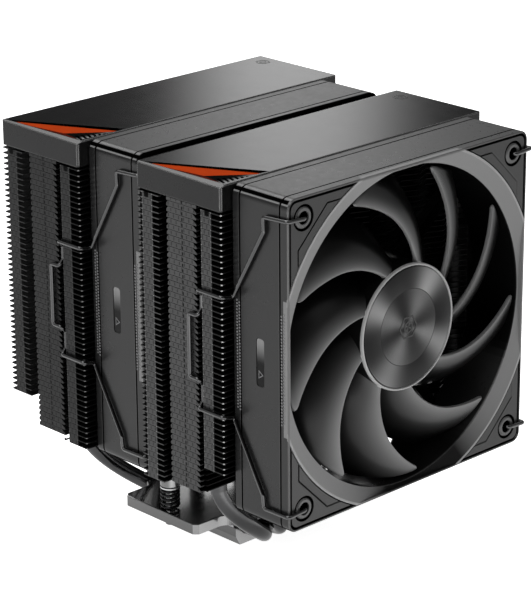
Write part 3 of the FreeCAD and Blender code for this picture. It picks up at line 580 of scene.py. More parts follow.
def frame_material():
    """Fan frame: satin black with crisp dark seams, a mouth ring painted paler as light and a
    throat painted dark as shade.
    """
    g = MaterialGraph("frame_satin_black")
    vector = g.coordinates()
    x, height, middle, depth = fan_place(g)
    radius = distance(x, height)
    slow = g.noise(vector, scale=35.0, detail=2.0)
    mid = g.noise(vector, scale=420.0, detail=4.0, roughness=0.6)
    grain = g.noise(vector, scale=9000.0, detail=2.0, roughness=0.6)
    normal_x, _, normal_z = g.face_normal()
    color = g.mix(slow.remap(), rgb(0.0100, 0.0100, 0.0102), rgb(0.0120, 0.0120, 0.0122))
    color = g.mix(mid.remap(low=0.0, high=0.25), color, grey(0.0145))
    # painted light: upward faces are lighter
    color = g.mix(normal_z.step(off=0.85, on=0.97), color, grey(0.048))
    # the rounded upper left edge carries a soft line of light
    rounded = (normal_z.band(low=0.50, high=0.76, soft=0.16)
               * normal_x.step(off=-0.30, on=-0.45))
    color = g.mix(rounded, color, grey(0.17))

    mouth = (radius.band(low=0.0586, high=0.06475, soft=0.0001)
             * depth.step(off=0.00235, on=0.00220))
    throat = radius.step(off=0.0593, on=0.0590) * depth.step(off=0.0022, on=0.0030)
    # painted light: the mouth ring is paler
    color = g.mix(mouth, color, grey(0.165))
    # the bottom of the mouth, a little towards +X, rolls away from the light
    sharpness, gain = 12.0, 1.8
    bottom = facing(x / radius, height / radius, degrees=-82) ** sharpness * gain
    bottom = capped(bottom) * mouth * 0.95
    color = g.mix(bottom, color, grey(0.002))
    # painted highlight: a bright line along the mouth's outer lip
    lip_line = (radius.band(low=0.0642, high=0.0651, soft=0.0001)
                * depth.step(off=0.0007, on=0.0005))
    color = g.mix(lip_line, color, grey(0.26))
    # painted shade: the throat goes black
    color = g.mix(throat * 0.9, color, grey(0.0015))

    # two seams round the outer skin, each with a painted highlight on the lip behind it
    outer = either(abs(x), abs(height))
    skin = outer.step(off=0.0592, on=0.0594)
    seam = (depth.band(low=0.00348, high=0.00412, soft=0.00005)
            + depth.band(low=0.02278, high=0.02342, soft=0.00005))
    lip_highlight = (depth.band(low=0.00415, high=0.00450, soft=0.0001)
           + depth.band(low=0.02345, high=0.02380, soft=0.0001))
    color = g.mix(lip_highlight * skin * 0.75, color, grey(0.030))
    color = g.mix(seam * skin, color, grey(0.0006))
    # painted shade: the pockets behind the pads fall into black; painted light: the front rim
    # catches a line of light
    pocket = (radius.step(off=0.0649, on=0.0651) * outer.step(off=0.05945, on=0.0593)
              * depth.step(off=0.0004, on=0.0009))
    color = g.mix(pocket, color, grey(0.0008))
    rim = outer.step(off=0.0592, on=0.0594) * depth.step(off=0.0005, on=0.0003)
    color = g.mix(rim * 0.8, color, grey(0.085))
    # the middle fan's leading upper edge stands in the shadow of the front cover
    tucked = middle * depth.step(off=0.0019, on=0.0011) * height.step(off=0.0560, on=0.0575)
    color = g.mix(tucked, color, grey(0.0008))

    # shadowed places lose their shine, faces to the left a little of it
    gone = either(either(bottom, tucked), throat * 0.85)
    shine = 1.0 - either(either(seam * skin, pocket), gone)
    shine = shine * (1.0 - normal_x.step(off=-0.80, on=-0.95) * 0.16)
    rough = mid.remap(low=0.26, high=0.34) + slow.remap(low=-0.02, high=0.02)
    return g.surface(color=color, rough=rough + mouth * 0.10, spec=shine * 0.38,
                     normal=g.bump(grain, strength=0.07, distance=0.00005))


def rotor_material():
    """Impeller: satin black, a painted highlight on the rim round the hub, painted light on the
    blades fading nose to tail.
    """
    g = MaterialGraph("impeller_satin_black")
    vector = g.coordinates()
    x, height, _, depth = fan_place(g)
    radius = distance(x, height)
    slow = g.noise(vector, scale=40.0, detail=2.0)
    grain = g.noise(vector, scale=9000.0, detail=2.0, roughness=0.6)
    chord = g.value("ShaderNodeAttribute", "Fac", attribute_name="chord")
    across, up = x / radius, height / radius
    # share of the chord the light reaches: short to the upper right, long to the lower left
    reach = 0.85 - facing(across, up, degrees=25) * 0.56 + facing(across, up, degrees=245) * 0.75
    reach = reach * 0.58
    near = 1.0 - capped(chord / reach)
    # painted light: a narrow bright nose over a wide faint fall-off
    nose = near ** 3.4 * 0.76 + near ** 1.3 * 0.24
    nose_cover = 1.0
    color = g.mix(slow.remap(), grey(0.0030), grey(0.0036))
    color = g.mix(nose * nose_cover, color, grey(0.15))
    # painted highlight: a bright ring round the hub's rim
    rim = (radius.band(low=0.0222, high=0.0234, soft=0.0001)
           * depth.step(off=0.0024, on=0.0021))
    color = g.mix(rim, color, grey(0.34))
    return g.surface(color=color, spec=nose * 0.35 + 0.15,
                     rough=slow.remap(low=0.27, high=0.31) + grain.remap(low=-0.01, high=0.01),
                     normal=g.bump(grain, strength=0.03, distance=0.00004))


def pad_material():
    """Corner pads: satin rubber, painted highlights on the rings round the holes, painted shade
    in the grooves and walls.
    """
    g = MaterialGraph("pad_soft_rubber")
    vector = g.coordinates()
    x, height, _, depth = fan_place(g)
    from_hole = distance(abs(x) - FAN_HOLE, abs(height) - FAN_HOLE)
    slow = g.noise(vector, scale=35.0, detail=2.0)
    mid = g.noise(vector, scale=420.0, detail=4.0, roughness=0.6)
    grain = g.noise(vector, scale=6000.0, detail=2.0, roughness=0.6)
    color = g.mix(slow.remap(), grey(0.0165), grey(0.0195))
    # painted highlight: paler rings round the holes
    ring = (from_hole.band(low=0.0022, high=0.0039, soft=0.0001)
            * depth.step(off=0.0009, on=0.0006))
    groove = (from_hole.band(low=0.0037, high=0.0050, soft=0.0001)
              * depth.step(off=0.0003, on=0.0006))
    bore = from_hole.step(off=0.00255, on=0.00245) * depth.step(off=0.0004, on=0.0008)
    wall = from_hole.step(off=0.0051, on=0.0053) * depth.step(off=0.0006, on=0.0018)
    color = g.mix(ring, color, grey(0.080))
    # painted shade: grooves, bores and walls go black
    black = either(either(groove, bore), wall)
    color = g.mix(black, color, grey(0.0008))
    return g.surface(color=color, rough=mid.remap(low=0.33, high=0.39),
                     spec=(1.0 - black) * 0.42,
                     normal=g.bump(grain, strength=0.08, distance=0.00005))


def insert_material():
    """Polished insert: mirror black, its upper end painted light as a highlight."""
    g = MaterialGraph("insert_piano_black")
    low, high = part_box("front_fan_side_insert")
    x, _, z = g.position()
    slow = g.noise(g.coordinates(), scale=60.0, detail=2.0)
    # painted highlight: the upper end is lightened
    glow = z.step(off=low.z + 0.45 * (high.z - low.z), on=high.z) * (abs(x) > 0.05)
    color = g.mix(slow.remap(), grey(0.0030), grey(0.0042))
    color = g.mix(glow, color, grey(0.16))
    return g.surface(color=color, rough=slow.remap(low=0.07, high=0.11),
                     spec=glow * 0.4 + 0.10)


def board_material():
    """Green board with a fine paler grid."""
    g = MaterialGraph("board_solder_mask")
    plain = g.coordinates()
    grid = g.node("ShaderNodeTexBrick", {
        "Vector": plain, "Scale": 400.0, "Color1": rgb(0.02, 0.12, 0.05),
        "Color2": rgb(0.018, 0.10, 0.045), "Mortar": rgb(0.05, 0.22, 0.09)})
    mottle = g.noise(plain, scale=900.0)
    color = g.mix(mottle.remap(low=0.0, high=0.3), Signal(g, grid.outputs["Color"]),
                  rgb(0.03, 0.16, 0.07))
    lines = Signal(g, grid.outputs["Fac"])
    return g.surface(color=color, rough=mottle.remap(low=0.3, high=0.45), spec=0.5,
                     normal=g.bump(lines, strength=0.1, distance=0.00003))


def winding_material():
    """Enamelled copper wire, its turns side by side along y."""
    g = MaterialGraph("winding_enamelled_copper")
    vector = g.coordinates()
    turns = g.value("ShaderNodeTexWave", "Fac",
                    {"Vector": vector, "Scale": 1100.0, "Distortion": 0.6},
                    wave_type="BANDS", bands_direction="Y")
    slow = g.noise(vector, scale=300.0, detail=2.0)
    return g.surface(color=g.mix(slow.remap(), rgb(0.42, 0.14, 0.06), rgb(0.55, 0.20, 0.08)),
                     metal=0.9, rough=slow.remap(low=0.25, high=0.38),
                     normal=g.bump(turns, strength=0.8, distance=0.0002))


MATERIALS = {
    "cover_black": cover_material(),
    "fin_black": fin_material(),
    "cap_metal": cap_material(),
    "pipe_nickel": pipe_material(),
    "inlay_orange": inlay_material(),
    "board_green": board_material(),
    "copper_wire": winding_material(),
    "nickel": plate_material("base_bright_nickel", level=0.42, rough=0.16,
                             front=0.55, left=0.18),
    "bar_nickel": plate_material("bar_mirror_nickel", level=0.62, rough=0.12,
                                 front=0.62, left=0.17),
    "clamp_metal": metal("block_machined_aluminium", tone=(0.50, 0.50, 0.51), rough=0.34,
                         axis="x", brush=1.3),
    "screw_steel": metal("screw_plated_steel", tone=(0.56, 0.56, 0.565), rough=0.22, axis="z"),
    "spring_black": metal("spring_black_steel", tone=(0.020, 0.020, 0.021), rough=0.16,
                          brush=0.6),
    "yoke_steel": metal("yoke_drawn_steel", tone=(0.42, 0.42, 0.43), rough=0.34,
                        axis="y", brush=1.2),
    "shaft_steel": metal("shaft_ground_steel", tone=(0.62, 0.62, 0.63), rough=0.12, brush=0.6),
    "bronze": metal("bearing_sintered_bronze", tone=(0.42, 0.27, 0.12), rough=0.42, brush=1.6),
    "lamination": metal("core_lamination", tone=(0.30, 0.30, 0.32), rough=0.40,
                        axis="x", brush=1.6),
    "wire_steel": metal("clip_black_nickel", tone=(0.045, 0.045, 0.046), rough=0.12,
                        brush=0.8, vary=0.12, coated=True),
    "ferrite": plastic("magnet_ferrite", level=0.045, rough=0.55, spec=0.4, grain=1.6),
    "fan_plastic": frame_material(),
    "pad_rubber": pad_material(),
    "insert_gloss": insert_material(),
    # the grip dots are the frame's plastic painted lighter, as highlights
    "grip_dots": plastic("grip_dot_painted_light", level=0.15, rough=0.32, spec=0.5, grain=0.3),
    "rotor_plastic": rotor_material(),
    "nylon": plastic("retainer_nylon", level=0.60, rough=0.42, spec=0.4, grain=0.8,
                     tint=(1.0, 0.98, 0.90)),
    "lead_black": plastic("lead_sleeve", level=0.020, rough=0.55, spec=0.3, grain=2.0,
                          grain_scale=3500.0),
    "mark_dark": plastic("mark_dark_ink", level=0.008, rough=0.30, spec=0.4, grain=0.3),
    "mark_grey": plastic("mark_grey_ink", level=0.13, rough=0.45, spec=0.3, grain=0.4),
}


def paint_cad_pieces():
    slots = {part["node"]: part["material_slot"] for part in frame["record"]["subparts"]}
    for name, node in NODES.items():
        node.data.materials.clear()
        node.data.materials.append(MATERIALS[slots[name]])


paint_cad_pieces()


# ---------------------------------------------------------------------------
# mesh helpers
# ---------------------------------------------------------------------------
def mesh_object(name, verts, faces, smooth=True, sharp_angle=None):
    mesh = bpy.data.meshes.new(name)
    mesh.from_pydata([tuple(v) for v in verts], [], faces)
    mesh.validate()
    bm = bmesh.new()
    bm.from_mesh(mesh)
    bmesh.ops.recalc_face_normals(bm, faces=bm.faces)
    bm.to_mesh(mesh)
    bm.free()
    ob = bpy.data.objects.new(name, mesh)
    scene.collection.objects.link(ob)
    if smooth:
        mesh.shade_smooth()
    if sharp_angle is not None:
        mesh.set_sharp_from_angle(angle=math.radians(sharp_angle))
    return ob


def piece(ob, body, slot, replaces=(), material=None):
    ob.data.materials.clear()
    ob.data.materials.append(MATERIALS[material or slot])
    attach(ob, body)
    if replaces:
        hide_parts(*replaces)


def join(parts):
    verts, faces = [], []
    for part_verts, part_faces in parts:
        offset = len(verts)
        verts += list(part_verts)
        faces += [tuple(i + offset for i in face) for face in part_faces]
    return verts, faces


def fan_origin(fan):
    """y of the fan's front face and z of its axis; the axis is at x = 0."""
    low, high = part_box(fan + "_frame")
    return low.y, (low.z + high.z) / 2


def at_fan(verts, fan):
    front_y, axis_z = fan_origin(fan)
    return [(x, y + front_y, z + axis_z) for x, y, z in verts]


def round_axis(radius, y, angle):
    """Point in metres at a radius and depth in mm and an angle round the fan axis."""
    return (radius * math.cos(angle) * MM, y * MM, radius * math.sin(angle) * MM)


# ---------------------------------------------------------------------------
# impellers and hub caps; sizes in mm, y counted from the fan's front face
# ---------------------------------------------------------------------------
BLADES = 9
FIRST_BLADE = 39.0            # degrees
ROOT_RADIUS, TIP_RADIUS = 22.7, 57.2
HUB_RADIUS = 23.2
TIP_ROUND_START, TIP_ROUND = 55.0, 2.3    # the nose corner is rounded off beyond this radius
TIP_THIN_START, TIP_THIN = 56.5, 0.78     # the skin closes beyond this radius
TAIL_ROUND = 0.35
RADIAL_STEPS, CHORD_STEPS = 30, 22
TURN_STEPS = 160

# Angle of the blade's nose: (radius, degrees)
SWEEP = [(22.4, -1.6), (24.0, 0.0), (30.0, 7.0), (36.0, 13.8),
         (42.0, 20.9), (48.0, 28.6), (54.0, 36.0), (57.4, 40.4)]

# Closed section of the hub shell: (radius, y)
HUB_SECTION = [
    (22.25, 1.95), (22.35, 1.35), (22.55, 1.12), (22.85, 1.14), (23.10, 1.38),
    (23.20, 1.75), (HUB_RADIUS, 19.9), (22.95, 20.2), (22.2, 20.2), (22.0, 20.0),
    (22.0, 2.9), (19.0, 2.75), (19.0, 2.1), (22.1, 2.0)]

# Section of the cap from the axis out and back, with a step round the inner disc: (radius, y)
CAP_SECTION = [
    (0, 1.22), (13.7, 1.22), (13.9, 1.27), (14.1, 1.27), (14.3, 1.22),
    (21.7, 1.22), (21.98, 1.30), (22.05, 1.45), (22.05, 1.93), (0, 1.93)]


def table_value(table, x):
    for (x0, y0), (x1, y1) in zip(table, table[1:]):
        if x <= x1:
            return y0 + (y1 - y0) * (x - x0) / (x1 - x0)
    return table[-1][1]


def sweep_angle(radius):
    """The sweep table, smoothed by averaging over 2 mm either way."""
    return sum(table_value(SWEEP, radius + d) for d in (-2.0, -1.0, 0.0, 1.0, 2.0)) / 5.0


def blade_midline(radius, span):
    """Points (arc length, y, share of chord) from nose to tail; span is 0 root to 1 tip."""
    arc = math.radians(36.0 - 7.0 * span) * radius
    depth = 15.0 - 1.5 * span
    cut = 0.0
    if radius > TIP_ROUND_START:
        x = min(1.0, (radius - TIP_ROUND_START) / TIP_ROUND)
        cut = TIP_ROUND * (1 - math.sqrt(max(0.0, 1 - x * x)))
    nose_angle = math.radians(sweep_angle(radius))
    points = []
    for j in range(CHORD_STEPS + 1):
        share = (j / CHORD_STEPS) ** 1.35
        angle = nose_angle - (share * arc + cut * (1 - share)) / radius
        y = (3.0 + depth * (share - 0.25 * math.sin(math.pi * share))
             + cut * 0.25 * (1 - share))
        points.append((angle * radius, y, share))
    return points


def blade_half_thickness(radius, span):
    thick = 0.92 - 0.12 * span
    # thickened root
    thick *= 1 + 0.9 * math.exp(-(radius - HUB_RADIUS) / 1.1) if radius > HUB_RADIUS else 1.9
    if radius > TIP_THIN_START:
        thick *= math.sqrt(max(0.05, 1 - ((radius - TIP_THIN_START) / TIP_THIN) ** 2))
    return thick


def blade_section(radius, span):
    """Closed outline (arc length, y) round the midline, and each point's chord share."""
    midline = blade_midline(radius, span)
    thick = blade_half_thickness(radius, span)
    total = math.hypot(midline[-1][0] - midline[0][0], midline[-1][1] - midline[0][1])
    above, below = [], []
    for j, (x, y, share) in enumerate(midline):
        xa, ya, _ = midline[max(0, j - 1)]
        xb, yb, _ = midline[min(CHORD_STEPS, j + 1)]
        length = math.hypot(xb - xa, yb - ya) or 1.0
        across_x, across_y = -(yb - ya) / length, (xb - xa) / length
        from_nose = share * total
        nose = 1.0
        if from_nose < thick:
            nose = math.sqrt(max(0.0, 1 - (1 - from_nose / thick) ** 2))
        tail = 1.0 - 0.55 * share
        to_tail = total - from_nose
        if to_tail < TAIL_ROUND:
            tail *= math.sqrt(max(0.0, 1 - (1 - to_tail / TAIL_ROUND) ** 2))
        half = thick * nose * tail
        above.append((x + across_x * half, y + across_y * half))
        below.append((x - across_x * half, y - across_y * half))
    shares = [share for _, _, share in midline]
    return above + below[::-1][1:-1], shares + shares[::-1][1:-1]


def blade_mesh(phase):
    """One blade as a closed skin turned by phase degrees, with its chord shares."""
    verts, faces, chords, rings = [], [], [], []
    for i in range(RADIAL_STEPS + 1):
        step = 1 - (1 - i / RADIAL_STEPS) ** 1.25
        radius = ROOT_RADIUS + (TIP_RADIUS - ROOT_RADIUS) * step
        span = (radius - ROOT_RADIUS) / (TIP_RADIUS - ROOT_RADIUS)
        outline, shares = blade_section(radius, span)
        chords += shares
        rings.append(range(len(verts), len(verts) + len(outline)))
        verts += [round_axis(radius, y, x / radius + math.radians(phase)) for x, y in outline]
    count = len(rings[0])
    for a, b in zip(rings, rings[1:]):
        for j in range(count):
            k = (j + 1) % count
            faces.append((a[j], a[k], b[k], b[j]))
    # close the root and the tip
    for ring, flip in ((rings[0], True), (rings[-1], False)):
        centre = len(verts)
        verts.append(tuple(sum(verts[i][axis] for i in ring) / count for axis in range(3)))
        chords.append(0.5)
        for j in range(count):
            k = (j + 1) % count
            faces.append((ring[j], ring[k], centre) if flip else (ring[k], ring[j], centre))
    return verts, faces, chords


def turned_points(section):
    return [round_axis(radius, y, 2 * math.pi * i / TURN_STEPS)
            for i in range(TURN_STEPS) for radius, y in section]


def turned_ring(section):
    """Closed section turned round the fan axis."""
    faces = []
    count = len(section)
    for i in range(TURN_STEPS):
        k = (i + 1) % TURN_STEPS
        for j in range(count):
            m = (j + 1) % count
            faces.append((i * count + j, k * count + j, k * count + m, i * count + m))
    return turned_points(section), faces


def turned_disc(section):
    """Section from the axis out and back to the axis, turned to a closed solid."""
    outline = section[1:-1]
    verts, faces = turned_points(outline), []
    count = len(outline)
    centre = len(verts)
    verts += [(0, section[0][1] * MM, 0), (0, section[-1][1] * MM, 0)]
    for i in range(TURN_STEPS):
        k = (i + 1) % TURN_STEPS
        for j in range(count - 1):
            faces.append((i * count + j, k * count + j, k * count + j + 1, i * count + j + 1))
        faces.append((centre, k * count, i * count))
        faces.append((centre + 1, i * count + count - 1, k * count + count - 1))
    return verts, faces


def impeller(fan):
    """Hub and blades in one mesh; the chord attribute is 0 at a blade's nose."""
    parts = [turned_ring(HUB_SECTION)]
    chords = [1.0] * len(parts[0][0])
    for k in range(BLADES):
        verts, faces, blade_chords = blade_mesh(FIRST_BLADE + 360.0 / BLADES * k)
        parts.append((verts, faces))
        chords += blade_chords
    verts, faces = join(parts)
    ob = mesh_object(fan + "_impeller_skin", at_fan(verts, fan), faces, sharp_angle=50)
    attribute = ob.data.attributes.new("chord", "FLOAT", "POINT")
    for i, chord in enumerate(chords):
        attribute.data[i].value = chord
    piece(ob, fan + "_rotor", "rotor_plastic", [fan + "_impeller"])


def hub_cap(fan):
    verts, faces = turned_disc(CAP_SECTION)
    ob = mesh_object(fan + "_hub_cap_skin", at_fan(verts, fan), faces, sharp_angle=30)
    piece(ob, fan + "_rotor", "cap_metal", [fan + "_hub_cap"])


for fan in FANS:
    impeller(fan)
    hub_cap(fan)


# ---------------------------------------------------------------------------
# springs; sizes in mm
# ---------------------------------------------------------------------------
SPRING_RADIUS = 3.25          # to the middle of the wire
SPRING_WIRE = 0.50            # wire radius
SPRING_TURNS = 5.0
SPRING_STEPS = int(SPRING_TURNS * 48)
WIRE_SIDES = 14
CLOSED_SHARE = 0.16           # share of the coil that lies closed at either end
CLOSED_RISE = 2 * SPRING_WIRE * 0.855


def spring_mesh(centre_x, bottom, top):
    first, last = bottom + SPRING_WIRE, top - SPRING_WIRE
    verts, faces = [], []
    for i in range(SPRING_STEPS + 1):
        t = i / SPRING_STEPS
        if t < CLOSED_SHARE:
            z = first + CLOSED_RISE * t / CLOSED_SHARE
        elif t > 1 - CLOSED_SHARE:
            z = last - CLOSED_RISE * (1 - t) / CLOSED_SHARE
        else:
            open_height = last - first - 2 * CLOSED_RISE
            z = (first + CLOSED_RISE
                 + open_height * (t - CLOSED_SHARE) / (1 - 2 * CLOSED_SHARE))
        angle = 2 * math.pi * SPRING_TURNS * t
        for j in range(WIRE_SIDES):
            b = 2 * math.pi * j / WIRE_SIDES
            out = SPRING_RADIUS + SPRING_WIRE * math.cos(b)
            point = Vector((centre_x + out * math.cos(angle), out * math.sin(angle),
                            z + SPRING_WIRE * math.sin(b)))
            verts.append(point * MM)
    for i in range(SPRING_STEPS):
        here, there = i * WIRE_SIDES, (i + 1) * WIRE_SIDES
        for j in range(WIRE_SIDES):
            k = (j + 1) % WIRE_SIDES
            faces.append((here + j, here + k, there + k, there + j))
    faces.append(tuple(range(WIRE_SIDES)))
    end = SPRING_STEPS * WIRE_SIDES
    faces.append(tuple(reversed(range(end, end + WIRE_SIDES))))
    return verts, faces


def spring(side):
    low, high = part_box(side + "_spring")
    centre_x = (low.x + high.x) / 2 / MM
    bottom, top = low.z / MM, high.z / MM
    verts, faces = spring_mesh(centre_x, bottom, top)
    ob = mesh_object(side + "_spring_coil", verts, faces, sharp_angle=60)
    piece(ob, "cooler", "spring_black", [side + "_spring"])
    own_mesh(ob)


for side in ("left", "right"):
    spring(side)


# ---------------------------------------------------------------------------
# grip dots on the left and right faces of the fan frames; sizes in mm
# ---------------------------------------------------------------------------
DOT_RADIUS, DOT_HEIGHT = 0.40, 0.22
DOT_SIDES = 10
DOT_PITCH = 1.15
DOTS_PER_ROW = 35
LOWEST_DOT = -20.2            # from the fan axis
ROW_INSETS = (3.10, 1.95)     # from the frame's front or back; the second row is staggered
DOT_RINGS = ((1.0, -0.10), (0.96, 0.35), (0.68, 0.78))    # shares of radius and height


def dot_mesh(place, outward):
    """A low dome in metres at place, standing out along outward (left or right)."""
    radius, height = DOT_RADIUS * MM, DOT_HEIGHT * MM
    place, outward = Vector(place), Vector(outward)
    side = outward.cross(Vector((0, 0, 1))).normalized()
    up = side.cross(outward).normalized()
    verts, faces = [], []
    for radius_share, height_share in DOT_RINGS:
        for j in range(DOT_SIDES):
            a = 2 * math.pi * j / DOT_SIDES
            verts.append(place + (up * math.cos(a) + side * math.sin(a)) * radius * radius_share
                         + outward * height * height_share)
    verts.append(place + outward * height)
    verts.append(place - outward * height * 0.1)
    for k in range(2):
        here, there = k * DOT_SIDES, (k + 1) * DOT_SIDES
        for j in range(DOT_SIDES):
            m = (j + 1) % DOT_SIDES
            faces.append((here + j, here + m, there + m, there + j))
    top = 3 * DOT_SIDES
    for j in range(DOT_SIDES):
        m = (j + 1) % DOT_SIDES
        faces.append((2 * DOT_SIDES + j, 2 * DOT_SIDES + m, top))
        faces.append((j, top + 1, m))
    return verts, faces


def grip_dots(fan):
    low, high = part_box(fan + "_frame")
    _, axis_z = fan_origin(fan)
    parts = []
    for x, outward in ((low.x, -1), (high.x, 1)):
        for edge_y, inward in ((low.y, 1), (high.y, -1)):
            for row, inset in enumerate(ROW_INSETS):
                y = edge_y + inward * inset * MM
                for k in range(DOTS_PER_ROW):
                    z = axis_z + (LOWEST_DOT + DOT_PITCH * k + DOT_PITCH / 2 * row) * MM
                    parts.append(dot_mesh((x, y, z), (outward, 0, 0)))
    verts, faces = join(parts)
    ob = mesh_object(fan + "_grip_dots", verts, faces)
    piece(ob, "cooler", "fan_plastic", material="grip_dots")


for fan in FANS:
    grip_dots(fan)


# ---------------------------------------------------------------------------
# raised marks: hexagons on caps and covers, a triangle on the inserts; sizes in mm
# ---------------------------------------------------------------------------
CAP_HEXAGONS = ((4.6, 3.9), (2.5, 1.7))       # outer and inner radius of each outline
COVER_HEXAGONS = ((3.0, 2.45), (1.6, 1.1))
CAP_MARK_Y = 1.20                             # foot of the cap mark, behind the fan's front
CAP_MARK_HEIGHT = 0.07
MARK_HEIGHT = 0.06                            # on covers and inserts
MARK_SINK = 0.01
COVER_MARK_INSET = (6.0, 8.0)                 # from the cover's right and back edges
ARROW_Z = 4.2                                 # above the insert's foot
ARROW_OUTER = [(-1.35, 0.0), (1.0, -1.6), (1.0, 1.6)]
ARROW_INNER = [(-0.75, 0.0), (0.72, -1.02), (0.72, 1.02)]


def raised_outline(outer, inner, place, height):
    """Solid between two loops of (x, y); place maps (x, y, height) to space."""
    count = len(outer)
    verts = [place(x, y, h) for h in (0, height) for loop in (outer, inner) for x, y in loop]
    faces = []
    for j in range(count):
        k = (j + 1) % count
        faces.append((j, k, count + k, count + j))
        faces.append((2 * count + j, 3 * count + j, 3 * count + k, 2 * count + k))
        faces.append((j, 2 * count + j, 2 * count + k, k))
        faces.append((count + j, count + k, 3 * count + k, 3 * count + j))
    return verts, faces


def hexagon(radius, turn):
    angles = [2 * math.pi * k / 6 + turn for k in range(6)]
    return [(radius * math.cos(a), radius * math.sin(a)) for a in angles]


def hexagon_mark(sizes, place, height):
    """Two hexagon outlines, the inner one turned by 30 degrees."""
    return join([raised_outline(hexagon(outer, turn), hexagon(inner, turn), place, height)
                 for (outer, inner), turn in zip(sizes, (0.0, math.pi / 6))])


def cap_mark(fan):
    front_y, axis_z = fan_origin(fan)

    def on_cap(x, y, height):
        return (x * MM, front_y + (CAP_MARK_Y - height) * MM, axis_z + y * MM)

    verts, faces = hexagon_mark(CAP_HEXAGONS, on_cap, CAP_MARK_HEIGHT)
    ob = mesh_object(fan + "_cap_mark", verts, faces, smooth=False)
    piece(ob, fan + "_rotor", "insert_gloss", material="mark_dark")


def cover_mark(which):
    _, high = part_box(which + "_top_cover")
    inset_x, inset_y = COVER_MARK_INSET

    def on_cover(x, y, height):
        return (high.x + (x - inset_x) * MM, high.y + (y - inset_y) * MM,
                high.z + (height - MARK_SINK) * MM)

    verts, faces = hexagon_mark(COVER_HEXAGONS, on_cover, MARK_HEIGHT)
    ob = mesh_object(which + "_cover_mark", verts, faces, smooth=False)
    piece(ob, "cooler", "insert_gloss", material="mark_dark")


def flow_arrow(fan):
    """Triangle outline on the insert's left face, its tip towards the front."""
    low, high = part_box(fan + "_side_insert")
    centre_y = (low.y + high.y) / 2

    def on_insert(x, y, height):
        return (low.x - (height - MARK_SINK) * MM, centre_y + x * MM,
                low.z + (ARROW_Z + y) * MM)

    verts, faces = raised_outline(ARROW_OUTER, ARROW_INNER, on_insert, MARK_HEIGHT)
    ob = mesh_object(fan + "_flow_arrow", verts, faces, smooth=False)
    piece(ob, "cooler", "insert_gloss", material="mark_grey")


for fan in FANS:
    cap_mark(fan)
for which in ("front", "rear"):
    cover_mark(which)
for fan in FANS:
    flow_arrow(fan)


# ---------------------------------------------------------------------------
# floor
# ---------------------------------------------------------------------------
FLOOR_HALF = 6.0
FLOOR_GLOW = 0.42             # emission met by light and reflections
FLOOR_CAMERA = 0.93           # emission the camera sees
# Brighter areas, seen only in reflections: x, y, full radius, fade-out radius, extra glow
FLOOR_PATCHES = [(-0.04, -0.22, 0.03, 0.16, 1.2), (-0.36, -0.35, 0.08, 0.24, 3.0)]


def floor_material():
    g = MaterialGraph("floor_pale_paper")
    paper = g.noise(g.coordinates(), scale=3.0)
    x, y, _ = g.position()
    reflected = FLOOR_GLOW
    for patch_x, patch_y, full, faded, extra in FLOOR_PATCHES:
        away = distance(x - patch_x, y - patch_y)
        reflected = reflected + away.step(off=faded, on=full) * extra
    camera_ray = g.value("ShaderNodeLightPath", "Is Camera Ray")
    return g.surface(color=g.mix(paper.remap(), grey(0.84), grey(0.86)), rough=0.9, spec=0.0,
                     glow_color=grey(1),
                     glow=camera_ray * FLOOR_CAMERA + (1.0 - camera_ray) * reflected)


def floor():
    mesh = bpy.data.meshes.new("studio_floor")
    s = FLOOR_HALF
    mesh.from_pydata([(-s, -s, 0), (s, -s, 0), (s, s, 0), (-s, s, 0)], [], [(0, 1, 2, 3)])
    ob = bpy.data.objects.new("studio_floor", mesh)
    scene.collection.objects.link(ob)
    mesh.materials.append(floor_material())


floor()


# ---------------------------------------------------------------------------
# world: soft boxes of light on a dim sky; the camera itself sees plain white
# ---------------------------------------------------------------------------
# Azimuth (0 along +Y, positive towards +X), half width and softness; elevation, half height
# and softness, all in degrees; strength
SKY_BOXES = [
    (44.35, 0.4, 3.2, 18.0, 14.0, 12.0, 1.45),
    (44.0, 30.0, 25.0, 50.0, 10.0, 16.0, 1.0),
    (18.0, 9.0, 8.0, 45.0, 6.0, 8.0, 3.0),
    (-95.0, 18.0, 20.0, 40.0, 15.0, 15.0, 1.0),
    (170.0, 20.0, 25.0, 60.0, 14.0, 14.0, 0.8),
    (-45.0, 26.0, 22.0, 27.0, 8.0, 12.0, 0.60),
    (135.0, 26.0, 22.0, 17.0, 7.0, 11.0, 0.60),
]
SKY_BASE = 0.04
SKY_OVERHEAD = 0.25           # added towards the zenith
OVERHEAD_FADE = (0.5, 1.4)    # elevations in radians where that begins and is full


def sky_fade(signal, start, end):
    return signal.remap(0.0, 1.0, start, end, "SMOOTHERSTEP")


def sky_window(angle, centre, half, soft):
    away = abs(angle - math.radians(centre))
    return 1.0 - sky_fade(away, math.radians(half), math.radians(half + soft))


def world():
    studio = bpy.data.worlds.new("studio")
    scene.world = studio
    g = Graph(studio)
    x, y, z = g.separate(g.value("ShaderNodeTexCoord", "Generated"))
    azimuth = g.math("ARCTAN2", x, y)
    elevation = g.math("ARCSINE", z)
    total = SKY_BASE + sky_fade(elevation, *OVERHEAD_FADE) * SKY_OVERHEAD
    for box in SKY_BOXES:
        strength = box[6]
        total = total + (sky_window(azimuth, *box[0:3])
                         * sky_window(elevation, *box[3:6]) * strength)
    lighting, backdrop = [
        g.value("ShaderNodeBackground", 0, {"Color": grey(1), "Strength": strength})
        for strength in (total, 1.0)]
    camera_ray = g.value("ShaderNodeLightPath", "Is Camera Ray")
    sky = g.value("ShaderNodeMixShader", 0, {0: camera_ray, 1: lighting, 2: backdrop})
    g.node("ShaderNodeOutputWorld", {0: sky})


world()


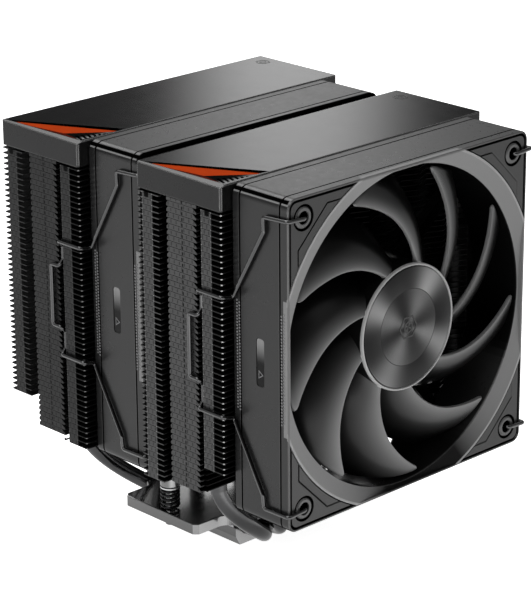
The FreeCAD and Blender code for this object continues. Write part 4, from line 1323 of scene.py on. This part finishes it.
# ---------------------------------------------------------------------------
# lights and camera
# ---------------------------------------------------------------------------
def area(name, place, target, size, power):
    light = bpy.data.lights.new(name, "AREA")
    light.shape = "RECTANGLE"
    light.size, light.size_y = size
    light.energy = power
    ob = bpy.data.objects.new(name, light)
    scene.collection.objects.link(ob)
    ob.location = place
    direction = Vector(target) - Vector(place)
    ob.rotation_euler = direction.to_track_quat("-Z", "Y").to_euler()


area("top_softbox", place=(-0.10, 0.25, 1.15), target=(0, 0, 0.10), size=(0.9, 0.7), power=7.0)
area("left_softbox", place=(-1.05, -0.25, 0.75), target=(0, 0, 0.08), size=(0.45, 0.6),
     power=2.5)

CAMERA_PLACE = (-0.631672, -0.671835, 0.416381)
CAMERA_AZIMUTH = math.radians(-43.742)    # of the camera's side, 0 at -Y, negative to the left
CAMERA_ELEVATION = math.radians(19.685)
CAMERA_ROLL = math.radians(-0.416)
CAMERA_LENS = 157.36884                   # mm
CAMERA_SENSOR = 36.0                      # mm


def camera():
    level = math.cos(CAMERA_ELEVATION)
    back = Vector((math.sin(CAMERA_AZIMUTH) * level, -math.cos(CAMERA_AZIMUTH) * level,
                   math.sin(CAMERA_ELEVATION)))
    ahead = -back
    flat_right = ahead.cross(Vector((0, 0, 1))).normalized()
    flat_up = flat_right.cross(ahead)
    right = flat_right * math.cos(CAMERA_ROLL) + flat_up * math.sin(CAMERA_ROLL)
    up = -flat_right * math.sin(CAMERA_ROLL) + flat_up * math.cos(CAMERA_ROLL)
    data = bpy.data.cameras.new("camera")
    data.sensor_fit = "AUTO"
    data.sensor_width = CAMERA_SENSOR
    data.lens = CAMERA_LENS
    data.clip_start, data.clip_end = 0.05, 50.0
    ob = bpy.data.objects.new("camera", data)
    scene.collection.objects.link(ob)
    rows = [(*axes, place) for *axes, place in zip(right, up, back, CAMERA_PLACE)]
    ob.matrix_world = Matrix(rows + [(0, 0, 0, 1)])
    scene.camera = ob


camera()
scene.view_settings.view_transform = "Standard"
scene.view_settings.look = "None"
